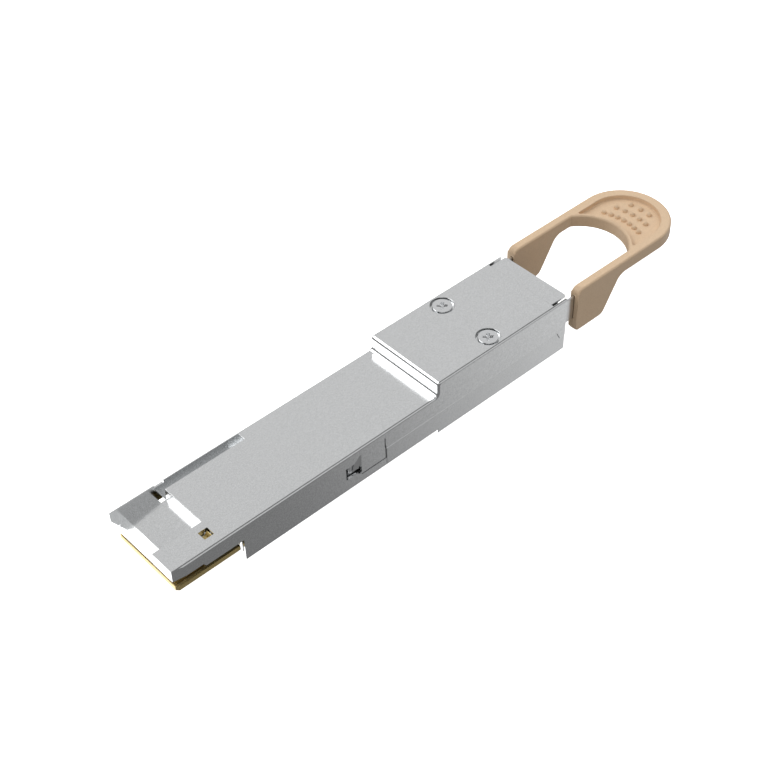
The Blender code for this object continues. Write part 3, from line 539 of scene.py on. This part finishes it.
# %% Make the other finishes
beige_plastic = make_finish("beige_plastic", (0.72, 0.525, 0.345), (0.80, 0.59, 0.395), 0.0, (0.42, 0.52),
                            3000.0, 0.6, level=0.35)
chip_black = make_finish("chip_black", (0.020, 0.020, 0.022), (0.035, 0.035, 0.038), 0.0, (0.40, 0.52),
                         3500.0, 0.3)
pad_grey = make_finish("pad_grey", (0.30, 0.33, 0.37), (0.38, 0.41, 0.45), 0.0, (0.75, 0.88), 2500.0, 0.5)
glass_block = make_finish("glass_block", (0.66, 0.74, 0.76), (0.72, 0.80, 0.82), 0.0, (0.05, 0.09),
                          2000.0, 0.02)
ribbon_jacket = make_finish("ribbon_jacket", (0.10, 0.34, 0.55), (0.16, 0.42, 0.62), 0.0, (0.32, 0.42),
                            3000.0, 0.1)
port_plastic = make_finish("port_plastic", (0.030, 0.030, 0.033), (0.048, 0.048, 0.052), 0.0, (0.42, 0.55),
                           3200.0, 0.4)
ferrule_plastic = make_finish("ferrule_plastic", (0.07, 0.07, 0.065), (0.10, 0.10, 0.09), 0.0, (0.30, 0.40),
                              3000.0, 0.2)
gasket_elastomer = make_finish("gasket_elastomer", (0.08, 0.08, 0.09), (0.13, 0.13, 0.14), 0.0, (0.65, 0.80),
                               2600.0, 0.5)
print("finishes:", len([m for m in bpy.data.materials if m.use_nodes]))

# %% [markdown]
# ## Folded cover
# The real cover is one sheet, folded down at both sides, drawn up into a step and pressed down at the
# nose. A flat sheet with a Solidify modifier could be folded too, but its corners tear where the step
# meets the sides. So a solid with the side view of the whole cover is drawn first, its long top edges
# are bevelled into folds, and a second solid, smaller by one sheet, is cut out from below.

# %% Side view of the cover, pulled across the width
sheet = 0.42
shroud_length = 14.65
nose_front_low = front_top - 2.60
nose_wall_low = front_top - 3.35
wall_jog = 6.10
foot_radius = 0.80
crown_radius = 0.75
ear_low = 3.45
ear_start = body_end - 1.40
ear_slant = 0.92

left_wall_low = front_top - 3.90
roof_line = [(0, front_top)]
roof_line += arc((step_station - foot_radius, front_top + foot_radius), foot_radius, -90, 0, 6)
roof_line += arc((step_station + crown_radius, rear_top - crown_radius), crown_radius, 180, 90, 5)
under_line = [(strip_end, rear_top), (strip_end, rear_top - 0.8), (body_end, rear_top - 0.8),
              (body_end, ear_low), (ear_start, ear_low), (ear_start - ear_slant, seam_height),
              (skirt_end, seam_height), (skirt_end, front_bottom), (shroud_length, front_bottom),
              (shroud_length, left_wall_low), (0, left_wall_low)]
cover = side_solid("folded_cover", roof_line + under_line, -half_width, half_width)
print("outline points:", len(roof_line + under_line))

# %% Fold the long edges
fold_radius = 0.45


def is_fold(start, end):
    """True for the roof's edges along both sides, step included."""
    along_side = abs(abs(start.y) - half_width) < 0.01 and abs(start.y - end.y) < 0.01
    low_end, far_end = min(start.z, end.z), max(start.x, end.x)
    on_roof = low_end > rear_top - 0.05 or (low_end > front_top - 0.05 and far_end < step_station + 1)
    return along_side and on_roof


print("folded edges:", round_edges(cover, fold_radius, 5, is_fold))

# %% Hollow it from below to a sheet's thickness
recess_right = -3.35
skirt_inner = half_width - sheet
above, below = rear_top + 2, -3.0
room_line = [(sheet, below), (sheet, front_top - sheet), (step_station + sheet, front_top - sheet),
             (step_station + sheet, rear_top - sheet), (strip_end + 1, rear_top - sheet),
             (strip_end + 1, below)]
cut(cover, side_solid("room", room_line, -skirt_inner, skirt_inner))
right_wall_low = [(-2, nose_front_low), (wall_jog, nose_front_low), (wall_jog + 0.5, nose_wall_low),
                  (shroud_length, nose_wall_low), (shroud_length, below), (-2, below)]
cut(cover, side_solid("right_wall_low", right_wall_low, -half_width - 1, recess_right + 0.5))
merge_flat(cover)
print("cover faces:", len(cover.data.polygons))

# %% [markdown]
# ## Nose of the cover
# At the nose the sheet is pressed down into a sloping panel with a lead-in ramp, beside a narrow key
# channel along the left wall. The opening is cut first, then the pressed panel and the channel's walls
# are joined in. Joined blocks overlap by a few hundredths of a millimetre, so that no two faces lie in
# one plane, which Booleans handle badly. Small holes come last, when what they go through exists.

# %% Cut the recess and the key channel
recess_end = 10.33
panel = 0.40
channel_right = skirt_inner - 1.80
channel_end = 27.90
channel_floor = front_top - 3.00

cut(cover, block("recess", (-2, recess_end), (recess_right, skirt_inner), (0, above)))
cut(cover, block("channel", (recess_end - 1, channel_end), (channel_right, skirt_inner),
                 (channel_floor, above)))
print("recess ends at", recess_end, "and the channel at", channel_end)

# %% Join the pressed panel, its walls and the channel
panel_rear, panel_front, panel_lip = front_top - 2.57, front_top - 3.22, 4.87
ramp_station, lip_station = 2.85, 0.80
back_end = recess_end + panel
pressed_line = [(back_end - 0.03, panel_rear), (ramp_station, panel_front), (lip_station, panel_lip),
                (lip_station + panel, panel_lip - panel), (ramp_station + panel, panel_front - panel),
                (back_end - 0.03, panel_rear - panel)]
pressed = side_solid("pressed_panel", pressed_line, recess_right - panel + 0.03, skirt_inner + 0.15)
cut(pressed, block("corner_hole", (recess_end - 1.13, recess_end + 2), (channel_right, skirt_inner + 1),
                   (3, above)))
join(cover, pressed)
join(cover, block("recess_back", (recess_end, back_end), (recess_right - panel + 0.06, channel_right - 0.02),
                  (panel_rear - panel + 0.05, front_top - 0.10)))
join(cover, block("recess_side", (0.05, back_end - 0.06), (recess_right - panel, recess_right),
                  (nose_front_low + 0.02, front_top - 0.13)))
join(cover, block("channel_floor", (recess_end + 0.02, channel_end + panel - 0.02),
                  (channel_right - panel + 0.02, skirt_inner + 0.12), (channel_floor - panel, channel_floor)))
join(cover, block("channel_side", (recess_end + 0.04, channel_end + panel - 0.04),
                  (channel_right - panel, channel_right), (channel_floor - panel + 0.05, front_top - 0.16)))
join(cover, block("channel_end", (channel_end, channel_end + panel),
                  (channel_right - panel + 0.04, skirt_inner + 0.18),
                  (channel_floor - panel + 0.03, front_top - 0.19)))
print("cover faces with the nose:", len(cover.data.polygons))

# %% Small nose cuts
hole = 1.95 / 2
hole_x, hole_y = 9.30, -half_width + 3.155
notch_start, notch_length, notch_depth = 9.40, 2.00, 0.50
taper_length, taper = 2.60, 0.42
pocket_low = front_top - 1.45
cup_wall = 0.3
join(cover, block("window_cup", (hole_x - hole - cup_wall, back_end - 0.1),
                  (hole_y - hole - cup_wall, hole_y + hole + cup_wall),
                  (pocket_low - cup_wall, front_top - 0.22)))
cut(cover, block("inspection_hole", (hole_x - hole, hole_x + hole), (hole_y - hole, hole_y + hole),
                 (pocket_low, above)))
cut(cover, block("wall_notch", (notch_start, notch_start + notch_length), (skirt_inner - 1, half_width + 1),
                 (front_top - notch_depth, above)))
cut(cover, plan_solid("taper_right", [(-2, -half_width - 2), (taper_length, -half_width - 2),
                                      (taper_length, -half_width), (0, -half_width + taper),
                                      (-2, -half_width + taper)], 0, above))
chamfer_low, chamfer_end = front_top - 1.91, 1.22
cut(cover, side_solid("left_wall_chamfer", [(-2, chamfer_low), (0, chamfer_low), (chamfer_end, left_wall_low),
                                            (chamfer_end, 0), (-2, 0)], skirt_inner - 1, half_width + 1))
print("nose wall tapers over", taper_length, "mm")

# %% [markdown]
# ## Pad behind the inspection window
# A small gold-coloured pad lies at the bottom of the square window, a little turned up at one edge. It
# is one bent strip: a plate whose far edge is extruded upwards and leaned against the window's wall.

# %% Bend the pad
pad_half = 0.80
pad_shape = [(-pad_half, 0.02), (0.30, 0.02), (0.72, 0.75), (pad_half, 0.75), (pad_half, 0.95), (0.60, 0.95),
             (0.18, 0.22), (-pad_half, 0.22)]
pad_line = [(hole_x + along, pocket_low + up) for along, up in pad_shape]
pad = side_solid("window_pad", pad_line, hole_y - pad_half, hole_y + pad_half)
soften(pad, 0.04)
dress(pad, gold_laminate, "contact_gold", "housing")

# %% [markdown]
# ## Side windows and flaps
# Low on each side the skirt has a window, in which the latch slider's tip moves, and behind it a flap
# freed by a slit. A small ramp at the rear edge of the window guides the cage's finger outwards. On the
# real cover the ramp is bent in from the flap. Here it is a wedge whose slope is cut, then joined in.

# %% Cut the windows and slits, join the bent ramps
def right_and_left():
    """The sign and the name of each side."""
    return ((-1, "right"), (1, "left"))


flap_start, flap_low, flap_top = 41.40, 2.92, 7.83
slit, jog_height = 0.20, 5.85
ramp_inner = skirt_inner - 0.13
window_start, window_low, window_high = 37.75, 3.70, 6.50
window_line = [(window_start, window_low), (window_start, window_high), (39.70, window_high), (41.15, 7.78),
               (flap_start, 7.78), (flap_start, 3.25), (40.85, 3.25), (40.20, window_low)]
ramp_line = [(flap_start + 0.2, 7.70), (41.15, 7.70), (40.15, 6.60), (39.55, 4.15), (40.50, 4.62),
             (41.25, 5.25), (flap_start + 0.2, 5.25)]
for side, side_name in right_and_left():
    through = (side * (skirt_inner - 1), side * (half_width + 1))
    cut(cover, block("slit_low_" + side_name, (skirt_end - slit, skirt_end + 0.01), through,
                     (flap_low - slit, jog_height)))
    cut(cover, block("slit_high_" + side_name, (skirt_end - slit - 0.14, skirt_end - 0.14), through,
                     (jog_height - 0.35, flap_top)))
    cut(cover, block("flap_gap_" + side_name, (flap_start, skirt_end - slit / 2), through,
                     (flap_low - slit, flap_low)))
    cut(cover, side_solid("window_" + side_name, window_line, *through))
    ramp = side_solid("ramp_" + side_name, ramp_line, side * ramp_inner, side * (half_width - 0.004))
    slope = [(38.5, side * 9.7), (41.35, side * 9.7), (41.35, side * (half_width - 0.004)),
             (38.5, side * 8.50)]
    cut(ramp, plan_solid("slope_" + side_name, slope, 0, above))
    join(cover, ramp)
print("cover faces with the windows:", len(cover.data.polygons))

# %% [markdown]
# ## Rear strip and screw seats
# Two relief slots free a strip at the rear edge of the roof, and a shallow crease marks where it starts.
# The slots and the crease are plain cuts, and the strip's corners are bevelled. Each screw sits in a
# sunk seat, which is a thick disc joined under the roof with a pocket cut in it.

# %% Cut the relief slots and the crease
strip_start = 91.50
strip_half = half_width - 1.025
relief = 0.55
strip_corner = 0.55
for side, side_name in right_and_left():
    cut(cover, block("relief_" + side_name, (strip_start, strip_end + 1),
                     (side * strip_half, side * (strip_half + relief)), (rear_top - 1.5, above)))
    cut(cover, block("wall_end_" + side_name, (body_end, strip_end + 1),
                     (side * (strip_half + 0.1), side * (half_width + 1)), (below, above)))
rounded = round_edges(cover, strip_corner, 6, lambda start, end: abs(start.x - strip_end) < 0.01
                      and abs(end.x - strip_end) < 0.01 and abs(start.y - end.y) < 0.01)
crease = [(strip_start - 0.02, rear_top + 0.1), (strip_start, rear_top - 0.10),
          (strip_start + 0.66, rear_top + 0.1)]
cut(cover, side_solid("crease", crease, -strip_half + 0.35, strip_half - 0.35))
print("rounded strip corners:", rounded)

# %% Seat pockets for the two screws
screw_station, screw_side = body_end - 18.75, half_width - 2.975
seat_radius, seat_depth, seat_wall = 2.40, 0.62, 0.40
for side, side_name in right_and_left():
    centre = (screw_station, side * screw_side)
    join(cover, round_bar("seat_" + side_name, "Z", centre, seat_radius + seat_wall,
                          rear_top - seat_depth - seat_wall, rear_top - 0.2, 64))
    cut(cover, round_bar("pocket_" + side_name, "Z", centre, seat_radius, rear_top - seat_depth, above, 64))
    cut(cover, round_bar("bore_" + side_name, "Z", centre, 0.9, rear_top - 3, above, 24))
merge_flat(cover)
print("screw seats at station", screw_station, "and", round(screw_side, 2), "mm to each side")


# %% Round the cut edges that catch the light
def bright_edge(start, end):
    """Cut edges of the front roof and of the screw seats, which catch the light as thin lines."""
    level_front = all(abs(p.z - front_top) < 0.01 and p.y > recess_right - 0.01 for p in (start, end))
    near_nose = 0.5 < max(start.x, end.x) < channel_end + 1 and (start - end).length > 0.9
    seat = all(abs(p.z - rear_top) < 0.01 and abs(math.hypot(p.x - screw_station, abs(p.y) - screw_side)
                                                  - seat_radius) < 0.03 for p in (start, end))
    return (level_front and near_nose) or seat


def low_edge(start, end):
    """The outer bottom edges of both skirts."""
    return all(abs(p.z - front_bottom) < 0.01 and abs(abs(p.y) - half_width) < 0.01 for p in (start, end))


print("bright edges:", round_edges(cover, 0.10, 3, bright_edge))
print("low edges:", round_edges(cover, 0.18, 3, low_edge))
shade(cover, 20)
dress(cover, satin_metal, "satin_metal", "housing", "top_cover")

# %% [markdown]
# ## Base
# The base is a cast tray. Its front half hides between the skirts and its rear half is flush with them,
# so a hairline seam runs along the side. The walls are blocks joined to the floor, as ribs stand on a
# real tray. The pockets for screws and springs are left out, because nothing shows them.

# %% Floor, walls and flush sides of the base
seam = 0.07
tray_front = shroud_length + 0.3
wall_outer, wall_inner = 8.005, 7.205
floor_thick = 1.20
base = block("cast_base", (tray_front, step_station + 0.2), (-skirt_inner + 0.05, skirt_inner - 0.05),
             (front_bottom, front_bottom + floor_thick))
join(base, block("rear_floor", (step_station, body_end), (-half_width, half_width), (0, floor_thick)))
join(base, block("floor_step", (step_station + 0.01, step_station + floor_thick), (-wall_outer, wall_outer),
                 (0.1, front_bottom + floor_thick)))
join(base, block("front_sill", (tray_front, tray_front + 0.8), (-wall_outer, wall_outer), (1.0, 2.86)))
for side, side_name in right_and_left():
    join(base, block("flush_front_" + side_name, (skirt_end + seam, step_station + 0.1),
                     (side * wall_inner, side * half_width), (front_bottom, seam_height - seam)))
    join(base, block("flush_rear_" + side_name, (step_station, body_end),
                     (side * wall_inner, side * half_width), (0.1, seam_height - seam)))
    join(base, block("front_wall_" + side_name, (tray_front, step_station + 0.1),
                     (side * wall_inner, side * wall_outer), (1.0, 7.60)))
    join(base, block("rear_wall_" + side_name, (step_station + 0.9, body_end),
                     (side * wall_inner, side * wall_outer), (0.2, 10.47)))
    ear_gap = 0.04
    ear = [(ear_start - ear_slant - ear_gap, seam_height + 1), (ear_start - ear_slant - ear_gap, seam_height),
           (ear_start - ear_gap, ear_low - seam), (body_end + 1, ear_low - seam),
           (body_end + 1, seam_height + 1)]
    cut(base, side_solid("ear_room_" + side_name, ear, side * (skirt_inner - 0.05), side * (half_width + 1)))
cut(base, block("channel_room", (0, channel_end + panel + 0.3), (channel_right - panel - 0.3, half_width),
                (channel_floor - panel - 0.3, above)))
merge_flat(base)
soften(base, 0.16, 3)
dress(base, cast_metal, "cast_metal", "housing", "base")

# %% [markdown]
# ## Cover screws
# A flush head with a cross recess sits in each seat. The head is a short cylinder with a bevelled rim.
# The cross is cut by two tapered bars, and its middle by a cone, which is how a driver's tip is shaped.
# Both screws are alike, so one is modelled and the other is a copy moved across.

# %% Model one screw and copy it
head_radius, head_height = 2.00, 0.52
screw_top = rear_top - 0.02


def build_screw(name, centre):
    """A screw with its head's middle at a (station, sideways) place."""
    screw = round_bar(name, "Z", centre, head_radius, screw_top - head_height, screw_top, 64)
    round_edges(screw, 0.14, 3, lambda start, end: min(start.z, end.z) > screw_top - 0.01)
    join(screw, round_bar("shank", "Z", centre, 0.70, screw_top - 5.4, screw_top - head_height + 0.1, 32))
    for turn in (45, 135):
        wedge = [spot(-1.05, across, height) for across, height in ((-0.34, screw_top + 0.02),
                 (0.34, screw_top + 0.02), (0.12, screw_top - 0.42), (-0.12, screw_top - 0.42))]
        bar = draw_solid("bar", wedge, Vector((2.10 * MM, 0, 0)))
        choose(bar)
        bpy.ops.transform.translate(value=spot(*centre, 0) - spot(0, 0, 0))
        bpy.ops.transform.rotate(value=math.radians(turn), orient_axis="Z", center_override=spot(*centre, 0))
        bpy.ops.object.transform_apply(location=True, rotation=True, scale=True)
        cut(screw, bar)
    bpy.ops.object.select_all(action="DESELECT")
    bpy.ops.mesh.primitive_cone_add(vertices=24, radius1=0.05 * MM, radius2=0.62 * MM, depth=0.75 * MM,
                                    location=spot(*centre, screw_top - 0.30))
    tip = bpy.context.active_object
    bpy.ops.object.transform_apply(location=True, rotation=True, scale=True)
    cut(screw, tip)
    merge_flat(screw)
    soften(screw, 0.03, 1)
    return screw


def moved_copy(piece, name, offset):
    """A copy with its own mesh, moved by an offset."""
    choose(piece)
    bpy.ops.object.duplicate()
    copy = bpy.context.active_object
    copy.name = name
    bpy.ops.transform.translate(value=offset)
    bpy.ops.object.transform_apply(location=True, rotation=True, scale=True)
    return copy


screw_right = build_screw("cross_screw_right", (screw_station, -screw_side))
screw_left = moved_copy(screw_right, "cross_screw_left", Vector((0, 2 * screw_side * MM, 0)))
dress(screw_right, screw_metal, "screw_metal", "housing", "screw_right")
dress(screw_left, screw_metal, "screw_metal", "housing", "screw_left")

# %% [markdown]
# ## Pull tab
# The tab is one moulding. Seen from above it is a long loop with a round end, and seen from the side its
# arms are deep at the front and slope up to a thin loop. The outer solid is shaped first, with large
# corner radii. The finger opening is cut through, all edges are rounded, and the thumb area is sunk.

# %% Outer solid of the tab
tab_start = (tab_low.x - nose_x) / MM
tab_half = tab_high.y / MM
tab_top, tab_bottom = tab_high.z / MM, tab_low.z / MM
tab_end_centre = (tab_high.x - nose_x) / MM - tab_half
loop_bottom = tab_top - 2.90
arm_foot = tab_start + 8.00
arm_heel = arm_foot + 4.60

tab_plan = [(tab_start, tab_half), (tab_start, -tab_half)] + arc((tab_end_centre, 0), tab_half, -90, 90, 48)
tab = plan_solid("pull_loop", tab_plan, tab_bottom, tab_top)
under_arm = [(arm_foot, tab_bottom), (arm_heel, loop_bottom), (arm_heel + 60, loop_bottom),
             (arm_heel + 60, tab_bottom - 2), (arm_foot - 1, tab_bottom - 2)]
cut(tab, side_solid("under_arm", under_arm, -tab_half - 2, tab_half + 2))
merge_flat(tab)
print("tab from station", round(tab_start, 2), "to", round(tab_end_centre + tab_half, 2))


# %% Round the corners that run across both arms
def cross_edge(station, height):
    """A test for an edge that runs straight across at a station and a height."""
    def test(start, end):
        near = all(abs(p.x - station) < 0.05 and abs(p.z - height) < 0.05 for p in (start, end))
        return near and abs(start.y - end.y) > 5
    return test


round_edges(tab, 1.30, 7, cross_edge(tab_start, tab_top))
round_edges(tab, 1.10, 6, cross_edge(tab_start, tab_bottom))
round_edges(tab, 1.00, 6, cross_edge(arm_foot, tab_bottom))
round_edges(tab, 1.40, 6, cross_edge(arm_heel, loop_bottom))
print("tab faces:", len(tab.data.polygons))

# %% Finger opening, with all edges rounded
tab_inner = tab_half - 2.00
opening_x = tab_start + 12.00
opening_radius = tab_inner + 1.30
meet = math.degrees(math.asin(tab_inner / opening_radius))
opening = [(tab_start - 2, tab_inner), (tab_start - 2, -tab_inner)]
opening += arc((opening_x, 0), opening_radius, -meet, meet, 40)
cut(tab, plan_solid("finger_opening", opening, tab_bottom - 2, tab_top + 2))
merge_flat(tab)
round_edges(tab, 0.85, 6, lambda start, end: abs(start.x - tab_start) < 0.01 and abs(end.x - tab_start) < 0.01
            and abs(start.y - end.y) < 0.01)
tab_rounding = 0.42
print("rounded edges:", round_sharp(tab, tab_rounding, 5, 38))

# %% [markdown]
# ## Thumb area
# A thumb presses on a sunk area behind the opening, with small domes for grip. On the mould this is
# one raised pad with dimples. Here the pad is drawn as a solid with a rounded floor edge and cut out of
# the tab. One dome is modelled, copied to each place and joined in with the others.

# %% Thumb area, sunk with a filleted wall
rim, lip, d_corner = tab_half - 2.15, opening_radius + 0.78, 0.25
thumb_floor = tab_top - 1.00
corner_y = rim - d_corner
corner_x = opening_x + math.sqrt((lip + d_corner) ** 2 - corner_y ** 2)
corner_turn = math.degrees(math.asin(corner_y / (lip + d_corner)))
thumb_plan = arc((tab_end_centre, 0), rim, -90, 90, 40)
thumb_plan += arc((corner_x, corner_y), d_corner, 90, 180 + corner_turn, 8)
thumb_plan += arc((opening_x, 0), lip, corner_turn, -corner_turn, 28)[1:-1]
thumb_plan += arc((corner_x, -corner_y), d_corner, 180 - corner_turn, 270, 8)
thumb = plan_solid("thumb_area", thumb_plan, thumb_floor, tab_top + 1.0)
round_edges(thumb, 0.22, 4, lambda start, end: max(start.z, end.z) < thumb_floor + 0.01)
cut(tab, thumb)


def thumb_brim(start, end):
    """Edges of the thumb area's brim, which lies in the flat top face."""
    level = all(abs(p.z - tab_top) < 0.002 and abs(p.y) < rim + 0.01 for p in (start, end))
    round_end = all(math.hypot(p.x - tab_end_centre, p.y) < rim + 0.01 or p.x < tab_end_centre + 0.01
                    for p in (start, end))
    past_lip = all(math.hypot(p.x - opening_x, p.y) > lip - 0.01 for p in (start, end))
    return level and round_end and past_lip


print("brim edges:", round_edges(tab, 0.14, 3, thumb_brim))

# %% Raised dots in three bowed rows
dot_rows = ((12.50, 7, 1.56), (15.25, 5, 1.96), (17.75, 3, 2.42))
bow_x = opening_x - 0.25
dot_radius, dot_height = 0.56, 0.62


def dot_places():
    """Centres of the dots on arcs around the opening's centre."""
    for row_radius, count, pitch in dot_rows:
        for number in range(count):
            turn = (number - (count - 1) / 2) * pitch / row_radius
            yield spot(bow_x + row_radius * math.cos(turn), row_radius * math.sin(turn), thumb_floor + 0.05)


places = list(dot_places())
bpy.ops.object.select_all(action="DESELECT")
bpy.ops.mesh.primitive_uv_sphere_add(segments=20, ring_count=11, radius=dot_radius * MM, location=places[0],
                                     scale=(1, 1, dot_height / dot_radius))
bpy.ops.object.transform_apply(location=True, rotation=True, scale=True)
domes = [bpy.context.active_object]
domes += [moved_copy(domes[0], "dome", place - places[0]) for place in places[1:]]
choose(domes[0])
for dome in domes:
    dome.select_set(True)
bpy.ops.object.join()
bpy.ops.object.transform_apply(location=True, rotation=True, scale=True)
join(tab, domes[0])
print("dots:", len(domes))

# %% Slots for the slider tongues
tongue_inner, tongue_outer = 8.125, 8.575
tongue_low, tongue_high = 5.75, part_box("latch_arm_left")[1].z / MM
grip, slot_gap = 4.3, 0.1
for side, side_name in right_and_left():
    slot_y = (side * (tongue_inner - slot_gap), side * (tongue_outer + slot_gap))
    cut(tab, block("tongue_slot_" + side_name, (tab_start - 2, tab_start + grip), slot_y,
                   (tongue_low - slot_gap, tongue_high + slot_gap)))
shade(tab)
dress(tab, beige_plastic, "beige_plastic", "latch", "pull_tab")

# %% [markdown]
# ## Board and fibre port
# These parts are already right in the mechanical model, but their edges are perfectly sharp. Modelling
# them again would add nothing, so each one is copied, its leftover lines are removed and its edges get
# the small radius that a routed board edge or a moulding has.

# %% Copies with rounded edges
def copy_node(node, name):
    """A free copy of a mechanical node, without the leftover lines in its flat faces."""
    choose(frame["nodes"][node])
    bpy.ops.object.duplicate()
    piece = bpy.context.active_object
    bpy.ops.object.parent_clear(type="CLEAR_KEEP_TRANSFORM")
    bpy.ops.object.transform_apply(location=True, rotation=True, scale=True)
    piece.name = name
    merge_flat(piece)
    return piece


def rounded_copy(node, radius, finish, slot):
    """A copy of a mechanical node with rounded edges, which takes the node's place."""
    piece = copy_node(node, "rounded_" + node)
    soften(piece, radius)
    dress(piece, finish, slot, "housing", node)


rounded_copy("main_board", 0.05, gold_laminate, "board_laminate")
rounded_copy("port_housing", 0.15, port_plastic, "port_plastic")
rounded_copy("fiber_ferrule", 0.10, ferrule_plastic, "ferrule_plastic")

# %% [markdown]
# ## Latch sliders
# A slider is a stamped strip whose front end is bent inwards, so that it can pass behind the ramp. The
# strip is copied from the mechanical model like the parts above. Only its tip is cut off and drawn
# again from above, with the bend as a rounded corner.

# %% Copy the sliders and bend their tips
tip_inner, tip_outer, tip_rear = 8.14, 8.56, 42.20
for side, side_name in right_and_left():
    node = "latch_arm_" + side_name
    slider = copy_node(node, "slider_" + side_name)
    cut(slider, block("old_tip", (30, 41.8), (side * 6, side * 10), (2, 9)))
    tip_plan = [(38.85, side * tip_inner), (38.80, side * 8.30), (38.95, side * 8.46),
                (39.25, side * tip_outer), (tip_rear, side * tip_outer), (tip_rear, side * tip_inner)]
    join(slider, plan_solid("tip", tip_plan, 3.95, 6.15))
    soften(slider, 0.05)
    dress(slider, spring_steel, "spring_steel", "latch", node)

# %% [markdown]
# ## Finish of the inner parts and end
# The parts that were not modelled again, such as chips, springs and ribbons, keep their mechanical
# shape, because the housing hides them. Each gets the finish its material slot names.

# %% Dress the mechanical nodes and finish
slot_of_node = {row["node"]: row["material_slot"] for row in frame["record"]["subparts"]}
for node_name, node in frame["nodes"].items():
    slot_name = slot_of_node[node_name]
    finish = gold_laminate if slot_name == "board_laminate" else bpy.data.materials[slot_name]
    node.data.materials.clear()
    node.data.materials.append(finish)
print("nodes dressed:", len(slot_of_node))
